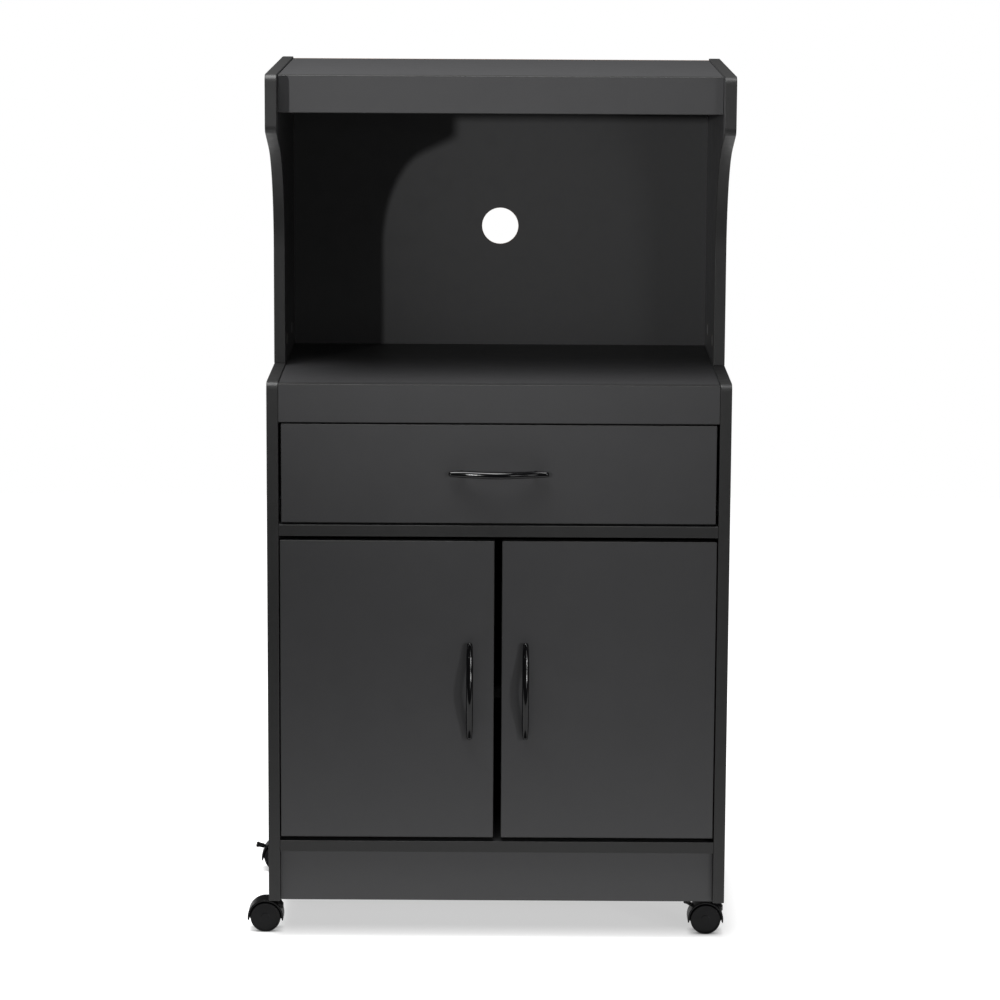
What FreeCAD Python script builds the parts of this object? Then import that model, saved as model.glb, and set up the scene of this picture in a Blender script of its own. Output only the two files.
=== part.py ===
import FreeCAD, Part
import math
import os
from types import SimpleNamespace

import Sketcher
from FreeCAD import Placement, Rotation, Vector

# A microwave cart: a flat-pack cabinet of laminated board with a drawer and two inset doors, an open
# hutch above it for the microwave, and four twin-wheel casters pressed into its side panels.
# Millimetres, +Z up, +Y towards the back.  The origin is on the floor, at the middle of the cart's plan.

# ---------------------------------------------------------------------------------------------------
# Driving dimensions: alias, number, meaning
# ---------------------------------------------------------------------------------------------------

DRIVING = (
    # carcass
    ("overall_width", 600, "over the outer faces of the two side panels"),
    ("carcass_depth", 397, "front to rear edge of the side panels, without the back board"),
    ("board", 15, "thickness of the laminated board"),
    ("back_board", 3, "thickness of the hardboard back"),
    ("back_inset", 1, "back board inside the outline of the carcass"),
    ("lower_side_height", 691, "height of a lower side panel"),
    ("hutch_side_height", 394, "height of a hutch side panel, which stands on the lower one"),
    ("top_drop", 2.5, "top board and microwave shelf below the top edges of their sides"),
    ("corner_radius", 10, "rounding of the top front corners of the side panels"),
    ("upper_fascia_height", 48, "board under the front of the top"),
    ("upper_fascia_setback", 27, "upper fascia behind the front edges"),
    ("lower_fascia_height", 50, "board at the front of the microwave shelf"),
    ("drawer_opening_height", 134, "lower fascia to the board under the drawer"),
    ("bottom_rise", 82.5, "top of the bottom board above the side panels' bottom edge"),
    ("kick_setback", 8, "kick plate behind the front edges"),
    # hutch side outline and the hole for the microwave's lead
    ("hutch_recess", 175, "lower part of the hutch side behind the front edges"),
    ("nose_height", 73, "straight front edge at the top of the hutch side"),
    ("nose_slope", 19.4, "degrees that the underside of the nose falls towards the front"),
    ("nose_radius", 12, "rounding of the lower corner of the nose"),
    ("cove_radius", 150, "hollow curve from the nose to the upright edge"),
    ("cable_hole_diameter", 50, "hole in the hutch back"),
    ("cable_hole_rise", 165, "centre of that hole above the microwave shelf"),
    # inner shelf
    ("inner_shelf_rise", 190, "top of the inner shelf above the bottom board"),
    ("inner_shelf_setback", 80, "inner shelf behind the front edges"),
    ("inner_shelf_gap", 1, "gap at each end and behind the inner shelf"),
    ("pin_diameter", 5, "shelf pin"),
    ("pin_reach", 8, "shelf pin inside the cabinet"),
    ("pin_depth", 9, "hole for a shelf pin"),
    ("pin_pitch", 32, "rows of shelf pin holes"),
    ("pin_column_inset", 50, "columns of pin holes from the shelf's front and rear edges"),
    # doors
    ("door_side_gap", 1.5, "between a door and the side panel"),
    ("door_centre_gap", 10, "between the two doors"),
    ("door_top_gap", 5.5, "between a door and the board above it"),
    ("door_bottom_gap", 5.5, "between a door and the bottom board"),
    # concealed hinges
    ("hinge_end_distance", 85, "hinge centre from the top or bottom edge of the door"),
    ("cup_diameter", 35, "bore for the hinge cup"),
    ("cup_bore_depth", 11.5, "depth of that bore"),
    ("cup_edge", 5, "cup bore from the outer edge of the door"),
    ("cup_play", 0.2, "hinge cup inside its bore, all round"),
    ("cup_wall", 1.2, "sheet of the hinge cup"),
    ("cup_wing_length", 56, "flange of the cup, end to end"),
    ("cup_wing_width", 12, "flange of the cup across"),
    ("arm_height", 11, "hinge arm, top to bottom"),
    ("arm_thickness", 7, "hinge arm across its crank"),
    ("arm_tip_reach", 21, "tip of the arm from the side panel"),
    ("arm_tip_gap", 0.3, "tip of the arm off the cup's floor"),
    ("plate_length", 50, "mounting plate along the side panel"),
    ("plate_height", 22, "mounting plate, top to bottom"),
    ("plate_thickness", 4, "mounting plate off the side panel"),
    ("plate_centre", 40, "mounting plate centre behind the door's rear face"),
    # drawer
    ("drawer_side_gap", 3.5, "between the drawer front and the side panel"),
    ("drawer_top_gap", 2, "between the drawer front and the lower fascia"),
    ("drawer_bottom_gap", 3, "between the drawer front and the divider board"),
    ("drawer_board", 12, "thickness of the drawer's sides and back"),
    ("drawer_rear_gap", 32, "rear end of the drawer off the back board"),
    ("drawer_side_height", 96, "height of the drawer's sides"),
    ("drawer_lift", 14, "lower edges of the drawer's sides above the divider board"),
    ("groove_rise", 8, "groove for the drawer bottom above the sides' lower edges"),
    ("groove_depth", 5, "depth of that groove"),
    ("groove_play", 0.2, "groove wider than the drawer bottom"),
    # drawer runners
    ("runner_gap", 12.5, "between the drawer's side and the side panel"),
    ("runner_sheet", 1.2, "sheet steel of the runners"),
    ("runner_setback", 17, "front ends of the runners behind the front edges"),
    ("runner_rear_gap", 30, "rear ends of the runners off the back board"),
    ("runner_flange", 9.5, "outward flange of the drawer's runner, from its web"),
    ("runner_foot", 12, "flange of the drawer's runner under the drawer's side"),
    ("channel_lip", 8, "top lip of the cabinet's runner"),
    ("channel_foot", 10.5, "bottom flange of the cabinet's runner"),
    ("roller_diameter", 15.6, "nylon roller"),
    ("roller_width", 6, "nylon roller"),
    ("roller_inset", 14, "roller axis from the end of its runner"),
    ("roller_pin_diameter", 4, "pin of a roller"),
    ("roller_crown", 0.2, "edges of a roller below its middle"),
    ("roller_play", 0.1, "roller off the track that it runs on"),
    ("flange_play", 0.3, "drawer's roller under the flange of its runner"),
    ("channel_play", 0.3, "that flange under the lip of the cabinet's runner"),
    ("foot_play", 0.6, "foot of the drawer's runner above the cabinet runner's track"),
    # handles
    ("handle_length", 130, "bow handle, tip to tip"),
    ("handle_projection", 22, "bow handle off the face"),
    ("handle_rise", 11, "middle of the bow further out than its tips"),
    ("handle_bar_diameter", 9, "bar at its middle"),
    ("handle_tip_diameter", 7, "bar at its tips"),
    ("handle_hole_spacing", 96, "screw to screw"),
    ("handle_post_diameter", 8, "post behind the bar"),
    ("drawer_handle_rise", 1, "drawer handle above the middle of its front"),
    ("door_handle_inset", 31.5, "handle's centre line from the inner edge of the door"),
    ("screw_diameter", 4, "handle screw"),
    ("screw_head_diameter", 8, "handle screw head"),
    ("screw_head_top", 5.6, "flat top of that head"),
    ("screw_head_height", 2.4, "handle screw head"),
    ("screw_play", 0.2, "hole in the board round a handle screw"),
    ("screw_bite", 7, "handle screw inside the post"),
    # cam fittings
    ("cam_diameter", 15, "bore for a cam"),
    ("cam_depth", 12, "depth of that bore"),
    ("cam_distance", 34, "cam centre from the end of its board"),
    ("cam_play", 0.2, "cam inside its bore, all round"),
    ("cam_bolt_diameter", 6, "cam bolt"),
    ("cam_bolt_bore", 8, "bore for the bolt in the end of the board"),
    ("cam_bolt_depth", 11, "cam bolt inside the board it is screwed into"),
    ("cam_inset", 60, "cams from the front and rear edges of the board"),
    ("hutch_cam_rise", 28, "hutch side cam above the lower side panel"),
    ("hutch_cam_front", 40, "front hutch cam behind the upright edge of the hutch side"),
    ("hutch_cam_rear", 67, "rear hutch cam from the rear edge"),
    # casters
    ("caster_height", 53, "floor to the bottom edges of the side panels"),
    ("caster_inset", 50, "stem from the front and rear edges of the side panel"),
    ("caster_trail", 14.5, "wheel axle behind the stem"),
    ("wheel_diameter", 40, "twin wheels"),
    ("wheel_rim", 3, "rim of a wheel"),
    ("wheel_face", 2, "outer disc of a wheel"),
    ("wheel_hub_diameter", 9, "hub of a wheel"),
    ("wheel_chamfer", 1, "outer edge of a wheel's tread"),
    ("hood_width", 29, "hood along the axle"),
    ("hood_gap", 1.6, "hood off the treads"),
    ("hood_wall", 2.1, "hood's shell"),
    ("hood_web", 4.4, "web between the wheels"),
    ("hood_tip_drop", 5, "tips of the hood below the axle"),
    ("wheel_play", 0.5, "wheel off the web, and inside the hood's side"),
    ("axle_diameter", 4, "wheel axle"),
    ("running_play", 0.05, "radial play of what turns on a pin or in a bore"),
    ("neck_diameter", 11, "neck of the hood round the stem"),
    ("neck_gap", 0.8, "between the neck and the socket's flange"),
    ("stem_diameter", 8, "steel stem"),
    ("stem_seat", 12.5, "stem inside the neck"),
    ("stem_reach", 34, "stem above the panel's bottom edge"),
    ("stem_groove", 1, "depth of the groove near the stem's top"),
    ("socket_wall", 1, "wall of the stem's socket"),
    ("socket_flange_diameter", 14, "flange under the panel's edge"),
    ("socket_flange", 1.5, "thickness of that flange"),
    ("socket_depth", 38, "socket inside the panel"),
    # brake levers
    ("lever_pivot_trail", 8, "lever's pivot behind the wheel axle"),
    ("lever_pivot_rise", 11, "lever's pivot above the wheel axle"),
    ("lever_reach", 24.5, "pivot to the tip of the pedal"),
    ("lever_head_diameter", 8, "round head that turns in the web"),
    ("lever_arm_thickness", 4, "arm between head and pedal"),
    ("lever_web_play", 0.4, "lever's arm inside the faces of the web"),
    ("pedal_start", 13, "pivot to the start of the pedal"),
    ("pedal_width", 15, "pedal along the axle"),
    ("pedal_thickness", 4.4, "pedal over the bead at its tip"),
    ("lever_down", 12, "degrees that a locked lever rises towards its tip"),
    ("lever_up", 31, "degrees that a released lever rises towards its tip"),
    ("lever_slot_play", 3, "degrees that the slot in the hood is open past the lever"),
)


class Size:
    """A length or an angle: its number, and the sheet formula that gives it."""

    def __init__(self, number, text):
        self.number = float(number)
        self.text = text

    def joined(self, sign, other, number):
        return Size(number, f"({self.text} {sign} {text_of(other)})")

    def __add__(self, other):
        return self.joined("+", other, self.number + number_of(other))

    def __sub__(self, other):
        return self.joined("-", other, self.number - number_of(other))

    def __mul__(self, other):
        return self.joined("*", other, self.number * number_of(other))

    def __truediv__(self, other):
        return self.joined("/", other, self.number / number_of(other))

    def __neg__(self):
        return self * -1

    def __rsub__(self, other):
        return -self + other

    __radd__ = __add__
    __rmul__ = __mul__


def number_of(size):
    return size.number if isinstance(size, Size) else float(size)


def text_of(size):
    return size.text if isinstance(size, Size) else f"({float(size)})"


def sine(angle):
    return Size(math.sin(math.radians(number_of(angle))), f"sin({text_of(angle)} * 1 deg)")


def cosine(angle):
    return Size(math.cos(math.radians(number_of(angle))), f"cos({text_of(angle)} * 1 deg)")


def root(square):
    return Size(math.sqrt(number_of(square)), f"sqrt({text_of(square)})")


def arc_sine(ratio):
    return Size(math.degrees(math.asin(number_of(ratio))), f"(asin({text_of(ratio)}) / 1 deg)")


doc = FreeCAD.newDocument("microwave_cart")
sheet = doc.addObject("Spreadsheet::Sheet", "Sizes")
size = SimpleNamespace()
for row, (alias, number, meaning) in enumerate(DRIVING, 1):
    sheet.set(f"A{row}", meaning)
    sheet.set(f"B{row}", str(number))
    sheet.setAlias(f"B{row}", alias)
    setattr(size, alias, Size(number, f"Sizes.{alias}"))
doc.recompute()

# ---------------------------------------------------------------------------------------------------
# Places shared by several pieces
# ---------------------------------------------------------------------------------------------------

half_width = size.overall_width / 2
inner_face = half_width - size.board
front = -(size.carcass_depth + size.back_board) / 2
rear = front + size.carcass_depth
base = size.caster_height
lower_top = base + size.lower_side_height
shelf_top = lower_top - size.top_drop
upper_top = lower_top + size.hutch_side_height
board_top = upper_top - size.top_drop
bottom_top = base + size.bottom_rise
drawer_opening_top = shelf_top - size.lower_fascia_height
divider_top = drawer_opening_top - size.drawer_opening_height
hutch_cam_rows = (
    front + size.hutch_recess + size.hutch_cam_front,
    rear - size.hutch_cam_rear,
)
inner_shelf_top = bottom_top + size.inner_shelf_rise
inner_shelf_front = front + size.inner_shelf_setback
inner_shelf_rear = rear - size.inner_shelf_gap
shelf_pin_z = inner_shelf_top - size.board - size.pin_diameter / 2
shelf_pin_columns = (
    inner_shelf_front + size.pin_column_inset,
    inner_shelf_rear - size.pin_column_inset,
)
side_middle = half_width - size.board / 2
caster_rows = {"front": front + size.caster_inset, "rear": rear - size.caster_inset}

# ---------------------------------------------------------------------------------------------------
# Building blocks
# ---------------------------------------------------------------------------------------------------

sub_parts = []

# turns from +Z, along which a cylinder grows, to each direction
TURNS = {
    "+X": Rotation(Vector(0, 1, 0), 90),
    "-X": Rotation(Vector(0, 1, 0), -90),
    "+Y": Rotation(Vector(1, 0, 0), -90),
    "-Y": Rotation(Vector(1, 0, 0), 90),
    "+Z": Rotation(),
    "-Z": Rotation(Vector(1, 0, 0), 180),
}


def bind(feature, path, value):
    feature.setExpression(path, text_of(value))


def place(feature, x, y, z, turn=Rotation()):
    feature.Placement = Placement(Vector(number_of(x), number_of(y), number_of(z)), turn)
    for axis, value in zip("xyz", (x, y, z)):
        bind(feature, f"Placement.Base.{axis}", value)
    return feature


def keep(feature, label):
    """Name a finished sub-part."""
    feature.Label = label
    sub_parts.append(feature)
    return feature


def block(name, x, y, z):
    """A board: x, y and z are pairs of its lowest place and its highest place along that axis."""
    solid = doc.addObject("Part::Box", name)
    for path, (low, high) in zip(("Length", "Width", "Height"), (x, y, z)):
        bind(solid, path, high - low)
    return place(solid, x[0], y[0], z[0])


def rod(name, radius, length, x, y, z, direction):
    solid = doc.addObject("Part::Cylinder", name)
    bind(solid, "Radius", radius)
    bind(solid, "Height", length)
    return place(solid, x, y, z, TURNS[direction])


def group(name, solids):
    compound = doc.addObject("Part::Compound", name)
    compound.Links = solids
    return compound


def cut(name, stock, tools):
    """The stock with every tool's shape taken out of it."""
    cutter = tools[0]
    if len(tools) > 1:
        cutter = doc.addObject("Part::MultiFuse", name + "_cutter")
        cutter.Shapes = tools
    result = doc.addObject("Part::Cut", name)
    result.Base = stock
    result.Tool = cutter
    return result


def mirrored(name, source):
    """The same piece on the other side of the cart."""
    twin = doc.addObject("Part::Mirroring", name)
    twin.Source = source
    twin.Normal = Vector(1, 0, 0)
    return twin


def new_body(name):
    return doc.addObject("PartDesign::Body", name)


def new_sketch(body, plane, offset=0):
    """A sketch on one of the body's own origin planes, moved along the plane's normal."""
    sketch = body.newObject("Sketcher::SketchObject", f"{body.Name}_outline")
    origin_plane = next(item for item in body.Origin.OriginFeatures if item.Role == plane)
    sketch.AttachmentSupport = [(origin_plane, "")]
    sketch.MapMode = "FlatFace"
    sketch.AttachmentOffset = Placement(Vector(0, 0, number_of(offset)), Rotation())
    bind(sketch, "AttachmentOffset.Base.z", offset)
    return sketch


def dimension(sketch, kind, places, value, name):
    """A named dimension whose value comes from the sheet."""
    index = sketch.addConstraint(Sketcher.Constraint(kind, *places, number_of(value)))
    sketch.renameConstraint(index, name)
    bind(sketch, f"Constraints.{name}", value)


def pin_down(sketch, geometry, end, x, y):
    """Hold one end of a line or arc at x, y from the sketch's origin."""
    name = f"g{geometry}e{end}"
    if x is not None:
        dimension(sketch, "DistanceX", (-1, 1, geometry, end), x, name + "_x")
    if y is not None:
        dimension(sketch, "DistanceY", (-1, 1, geometry, end), y, name + "_y")


def add_polygon(sketch, corners):
    points = [Vector(number_of(x), number_of(y), 0) for x, y in corners]
    first = sketch.GeometryCount
    count = len(points)
    for index in range(count):
        sketch.addGeometry(Part.LineSegment(points[index], points[(index + 1) % count]))
    for index in range(count):
        joint = (first + index, 2, first + (index + 1) % count, 1)
        sketch.addConstraint(Sketcher.Constraint("Coincident", *joint))
    for index, (x, y) in enumerate(corners):
        pin_down(sketch, first + index, 1, x, y)


def add_circle(sketch, x, y, radius):
    centre = Vector(number_of(x), number_of(y), 0)
    circle = sketch.addGeometry(Part.Circle(centre, Vector(0, 0, 1), number_of(radius)))
    pin_down(sketch, circle, 3, x, y)
    dimension(sketch, "Radius", (circle,), radius, f"g{circle}_radius")


def pad(body, sketch, length, both_ways=False, reverse=False):
    feature = body.newObject("PartDesign::Pad", body.Name + "_pad")
    feature.Profile = sketch
    bind(feature, "Length", length)
    feature.Midplane = both_ways
    feature.Reversed = reverse
    return feature


def pocket(body, sketch, depth, both_ways=False, reverse=False):
    feature = body.newObject("PartDesign::Pocket", body.Name + "_pocket")
    feature.Profile = sketch
    bind(feature, "Length", depth)
    feature.Midplane = both_ways
    feature.Reversed = reverse
    return feature


def revolve(body, sketch, axis="V_Axis"):
    feature = body.newObject("PartDesign::Revolution", body.Name + "_turned")
    feature.Profile = sketch
    feature.ReferenceAxis = (sketch, [axis])
    feature.Angle = 360
    return feature


def round_edges(body, radius, chosen):
    """Round the edges of the body so far whose middle point the test chooses."""
    doc.recompute()
    tip = body.Tip
    names = [
        f"Edge{index}"
        for index, edge in enumerate(tip.Shape.Edges, 1)
        if chosen(edge.valueAt((edge.FirstParameter + edge.LastParameter) / 2), edge)
    ]
    feature = body.newObject("PartDesign::Fillet", body.Name + "_round")
    feature.Base = (tip, names)
    bind(feature, "Radius", radius)
    return feature


def near(value, target):
    return abs(value - number_of(target)) < 1e-3


def turned(name, corners, plane="XZ_Plane", axis="V_Axis"):
    """A body turned from a half section, about the sketch's upright axis unless told otherwise."""
    body = new_body(name)
    sketch = new_sketch(body, plane)
    add_polygon(sketch, corners)
    revolve(body, sketch, axis)
    return body


# ---------------------------------------------------------------------------------------------------
# Cam fittings: a cam in a bore across the board, and the bolt that it draws tight
# ---------------------------------------------------------------------------------------------------

cam_solids = []

# where the boards' cam bolts enter the left side panels: the board, and the bolt's y and z
left_bolts = []


def cam_bores(name, x, y, z, cam_way, bolt_way, bolt_start):
    """The cam's bore and the bolt's bore, as tools to cut from the board that carries the cam."""
    cam = rod(name + "_bore", size.cam_diameter / 2, size.cam_depth, x, y, z, cam_way)
    bolt = rod(name + "_bolt_bore", size.cam_bolt_bore / 2, size.cam_distance, *bolt_start, bolt_way)
    return [cam, bolt]


def cam_and_bolt(name, cam_at, cam_way, bolt_from, bolt_way, bolt_length):
    """The turned cam, open on one side for the bolt, and the bolt itself."""
    radius = size.cam_diameter / 2 - size.cam_play
    disc = rod(name + "_disc", radius, size.cam_depth - size.cam_play, *cam_at, cam_way)
    slot = rod(name + "_slot", size.cam_bolt_bore / 2, bolt_length, *bolt_from, bolt_way)
    cam_solids.append(cut(name + "_cam", disc, [slot]))
    cam_solids.append(
        rod(name + "_bolt", size.cam_bolt_diameter / 2, bolt_length, *bolt_from, bolt_way)
    )


def cammed_board(label, y, z):
    """A board between the sides, with two cams near each end and their bores in its underside."""
    stock = block(label + "_stock", (-inner_face, inner_face), y, z)
    middle = (z[0] + z[1]) / 2
    tools = []
    for row, row_y in enumerate((y[0] + size.cam_inset, rear - size.cam_inset)):
        for side, sign, inward in (("left", -1, "+X"), ("right", 1, "-X")):
            name = f"{label}_{side}_{row}"
            end = inner_face * sign
            cam_x = end - size.cam_distance * sign
            cam_at = (cam_x, row_y, z[0])
            tools += cam_bores(name, *cam_at, "+Z", inward, (end, row_y, middle))
            bolt_from = (end + size.cam_bolt_depth * sign, row_y, middle)
            bolt_length = size.cam_bolt_depth + size.cam_distance
            cam_and_bolt(name, cam_at, "+Z", bolt_from, inward, bolt_length)
        left_bolts.append((label, row_y, middle))
    return keep(cut(label, stock, tools), label)


# ---------------------------------------------------------------------------------------------------
# Carcass
# ---------------------------------------------------------------------------------------------------


def make_boards():
    cammed_board(
        "top_board",
        (front + size.upper_fascia_setback + size.board, rear),
        (board_top - size.board, board_top),
    )
    cammed_board("microwave_shelf", (front + size.board, rear), (shelf_top - size.board, shelf_top))
    cammed_board("divider_board", (front, rear), (divider_top - size.board, divider_top))
    cammed_board("bottom_board", (front, rear), (bottom_top - size.board, bottom_top))

    across = (-inner_face, inner_face)
    fascia_front = front + size.upper_fascia_setback
    upper_fascia = block(
        "upper_fascia",
        across,
        (fascia_front, fascia_front + size.board),
        (board_top - size.upper_fascia_height, board_top),
    )
    keep(upper_fascia, "upper_fascia")
    lower_fascia = block(
        "lower_fascia", across, (front, front + size.board), (drawer_opening_top, shelf_top)
    )
    keep(lower_fascia, "lower_fascia")
    kick_front = front + size.kick_setback
    kick_plate = block(
        "kick_plate", across, (kick_front, kick_front + size.board), (base, bottom_top - size.board)
    )
    keep(kick_plate, "kick_plate")


def make_back_boards():
    """Two hardboard backs that meet behind the middle of the microwave shelf."""
    across = (-half_width + size.back_inset, half_width - size.back_inset)
    deep = (rear, rear + size.back_board)
    seam = shelf_top - size.board / 2
    keep(block("lower_back", across, deep, (bottom_top - size.board, seam)), "lower_back")
    stock = block("hutch_back_stock", across, deep, (seam, board_top))
    hole_at = (0, rear, shelf_top + size.cable_hole_rise)
    hole = rod("cable_hole", size.cable_hole_diameter / 2, size.back_board, *hole_at, "+Y")
    keep(cut("hutch_back", stock, [hole]), "hutch_back")


def bolt_holes(wanted):
    """Holes in a left side panel for the cam bolts of the boards that are wanted there."""
    radius = size.cam_bolt_diameter / 2
    return [
        rod(f"{label}_bolt_hole", radius, size.cam_bolt_depth, -inner_face, y, z, "-X")
        for label, y, z in left_bolts
        if wanted(label)
    ]


def make_lower_sides():
    """The left side panel, bored for bolts, shelf pins and two casters, and its mirror image."""
    body = new_body("lower_side_left_panel")
    outline = new_sketch(body, "YZ_Plane")
    add_polygon(outline, [(front, base), (rear, base), (rear, lower_top), (front, lower_top)])
    pad(body, outline, size.board)
    round_edges(
        body,
        size.corner_radius,
        lambda middle, edge: near(middle.y, front) and near(middle.z, lower_top),
    )
    place(body, -half_width, 0, 0)

    tools = bolt_holes(lambda label: label != "top_board")
    for row, y in caster_rows.items():
        radius = size.stem_diameter / 2 + size.running_play + size.socket_wall
        tools.append(rod(f"{row}_socket_bore", radius, size.socket_depth, -side_middle, y, base, "+Z"))
    for column, y in enumerate(shelf_pin_columns):
        for step in (-1, 0, 1):
            at = (-inner_face, y, shelf_pin_z + size.pin_pitch * step)
            name = f"pin_hole_{column}_{step + 1}"
            tools.append(rod(name, size.pin_diameter / 2, size.pin_depth, *at, "-X"))
    for row, y in enumerate(hutch_cam_rows):
        at = (-side_middle, y, lower_top)
        radius = size.cam_bolt_diameter / 2
        tools.append(rod(f"hutch_bolt_hole_{row}", radius, size.cam_bolt_depth, *at, "-Z"))
    left = keep(cut("lower_side_left", body, tools), "lower_side_left")
    keep(mirrored("lower_side_right", left), "lower_side_right")


# the edges of the hutch side's outline in the order they are drawn, and which of them is an arc
HUTCH_SIDE_EDGES = ("nose", "underside", "cove", "upright", "bottom", "rear", "top")
COVE_EDGE = HUTCH_SIDE_EDGES.index("cove")
# the sketch's names for an arc's two ends
ARC_START, ARC_END = 1, 2


def make_hutch_sides():
    """The hutch side: a nose at the top, then a sloping underside that a wide cove carries down
    to the upright edge.  The cove touches both the slope and the upright edge."""
    body = new_body("hutch_side_left_panel")
    outline = new_sketch(body, "YZ_Plane")
    upright = front + size.hutch_recess
    nose_bottom = upper_top - size.nose_height
    slope = size.nose_slope
    cove = size.cove_radius
    centre_y = upright - cove
    touch_y = centre_y + cove * sine(slope)
    touch_z = nose_bottom - (touch_y - front) * sine(slope) / cosine(slope)
    centre_z = touch_z - cove * cosine(slope)
    corners = [
        (front, upper_top),
        (front, nose_bottom),
        (touch_y, touch_z),
        (upright, centre_z),
        (upright, lower_top),
        (rear, lower_top),
        (rear, upper_top),
    ]
    points = [Vector(number_of(y), number_of(z), 0) for y, z in corners]
    for index, point in enumerate(points):
        following = points[(index + 1) % len(points)]
        if index == COVE_EDGE:
            middle_turn = math.radians((90 - number_of(slope)) / 2)
            middle = Vector(
                number_of(centre_y) + number_of(cove) * math.cos(middle_turn),
                number_of(centre_z) + number_of(cove) * math.sin(middle_turn),
                0,
            )
            outline.addGeometry(Part.Arc(point, middle, following))
        else:
            outline.addGeometry(Part.LineSegment(point, following))
    # an arc runs anticlockwise, so this one starts at the upright edge
    ends = {COVE_EDGE: (ARC_END, ARC_START)}
    for index in range(len(points)):
        following = (index + 1) % len(points)
        leave = ends.get(index, (1, 2))[1]
        enter = ends.get(following, (1, 2))[0]
        outline.addConstraint(Sketcher.Constraint("Coincident", index, leave, following, enter))
    for index, (y, z) in enumerate(corners):
        pin_down(outline, index, ends.get(index, (1, 2))[0], y, z)
    dimension(outline, "Radius", (COVE_EDGE,), cove, "cove_radius")
    pad(body, outline, size.board)
    round_edges(
        body,
        size.corner_radius,
        lambda middle, edge: near(middle.y, front) and near(middle.z, upper_top),
    )
    round_edges(
        body,
        size.nose_radius,
        lambda middle, edge: near(middle.y, front) and near(middle.z, nose_bottom),
    )
    place(body, -half_width, 0, 0)

    tools = bolt_holes(lambda label: label == "top_board")
    for row, y in enumerate(hutch_cam_rows):
        name = f"hutch_{row}"
        cam_at = (-inner_face, y, lower_top + size.hutch_cam_rise)
        radius = size.cam_diameter / 2
        tools.append(rod(name + "_bore", radius, size.cam_depth, *cam_at, "-X"))
        bolt_end = (-side_middle, y, lower_top)
        bore = size.cam_bolt_bore / 2
        tools.append(rod(name + "_bolt_bore", bore, size.hutch_cam_rise, *bolt_end, "+Z"))
        length = size.cam_bolt_depth + size.hutch_cam_rise
        for side, sign, outward in (("left", -1, "-X"), ("right", 1, "+X")):
            at = (inner_face * sign, y, lower_top + size.hutch_cam_rise)
            start = (side_middle * sign, y, lower_top - size.cam_bolt_depth)
            cam_and_bolt(f"{name}_{side}", at, outward, start, "+Z", length)
    left = keep(cut("hutch_side_left", body, tools), "hutch_side_left")
    keep(mirrored("hutch_side_right", left), "hutch_side_right")


# ---------------------------------------------------------------------------------------------------
# Inner shelf on four pins
# ---------------------------------------------------------------------------------------------------


def make_inner_shelf():
    shelf = block(
        "inner_shelf",
        (-inner_face + size.inner_shelf_gap, inner_face - size.inner_shelf_gap),
        (inner_shelf_front, inner_shelf_rear),
        (inner_shelf_top - size.board, inner_shelf_top),
    )
    keep(shelf, "inner_shelf")
    pins = []
    length = size.pin_depth + size.pin_reach
    for sign, way in ((-1, "+X"), (1, "-X")):
        for column, y in enumerate(shelf_pin_columns):
            at = ((inner_face + size.pin_depth) * sign, y, shelf_pin_z)
            pins.append(rod(f"pin_{column}_{way[0]}", size.pin_diameter / 2, length, *at, way))
    keep(group("shelf_pins", pins), "shelf_pins")


# ---------------------------------------------------------------------------------------------------
# Bow handles
# ---------------------------------------------------------------------------------------------------

BOW_SECTIONS = 9


def make_handle(label, x, y, z, turn):
    """A bow of round section, thick in the middle and thin at its tips, on two bored posts.
    In its own frame the bow lies along X and stands out towards -Y from the face at y = 0."""
    body = new_body(label)
    tip_radius = size.handle_tip_diameter / 2
    bar_radius = size.handle_bar_diameter / 2
    rise = size.handle_rise
    half_span = size.handle_length / 2 - tip_radius
    bow_radius = (half_span * half_span + rise * rise) / (rise * 2)
    half_turn = arc_sine(half_span / bow_radius)
    centre_depth = bow_radius - size.handle_projection + bar_radius
    sections = []
    for index in range(BOW_SECTIONS):
        share = 2 * index / (BOW_SECTIONS - 1) - 1
        swing = half_turn * share
        section = new_sketch(body, "YZ_Plane")
        add_circle(section, 0, 0, tip_radius + (bar_radius - tip_radius) * (1 - share * share))
        lean = Rotation(Vector(0, 1, 0), number_of(swing))
        section.AttachmentOffset = Placement(Vector(), lean)
        bind(section, "AttachmentOffset.Base.x", centre_depth - bow_radius * cosine(swing))
        bind(section, "AttachmentOffset.Base.z", bow_radius * sine(swing))
        if share:
            bind(section, "AttachmentOffset.Rotation.Angle", swing)
        sections.append(section)
    bow = body.newObject("PartDesign::AdditiveLoft", label + "_bow")
    bow.Profile = sections[0]
    bow.Sections = sections[1:]
    for end in (sections[0], sections[-1]):
        ball = body.newObject("PartDesign::AdditiveSphere", label + "_tip")
        bind(ball, "Radius", tip_radius)
        ball.AttachmentSupport = end.AttachmentSupport
        ball.MapMode = "FlatFace"
        swing = half_turn * (1 if end is sections[-1] else -1)
        bind(ball, "AttachmentOffset.Base.x", centre_depth - bow_radius * cosine(swing))
        bind(ball, "AttachmentOffset.Base.z", bow_radius * sine(swing))
    foot = size.handle_hole_spacing / 2
    foot_depth = root(bow_radius * bow_radius - foot * foot) - centre_depth
    posts = new_sketch(body, "XZ_Plane")
    for sign in (-1, 1):
        add_circle(posts, foot * sign, 0, size.handle_post_diameter / 2)
    pad(body, posts, foot_depth)
    holes = new_sketch(body, "XZ_Plane")
    for sign in (-1, 1):
        add_circle(holes, foot * sign, 0, size.screw_diameter / 2)
    pocket(body, holes, size.screw_bite, reverse=True)
    place(body, x, y, z, turn)
    return keep(body, label)


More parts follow.
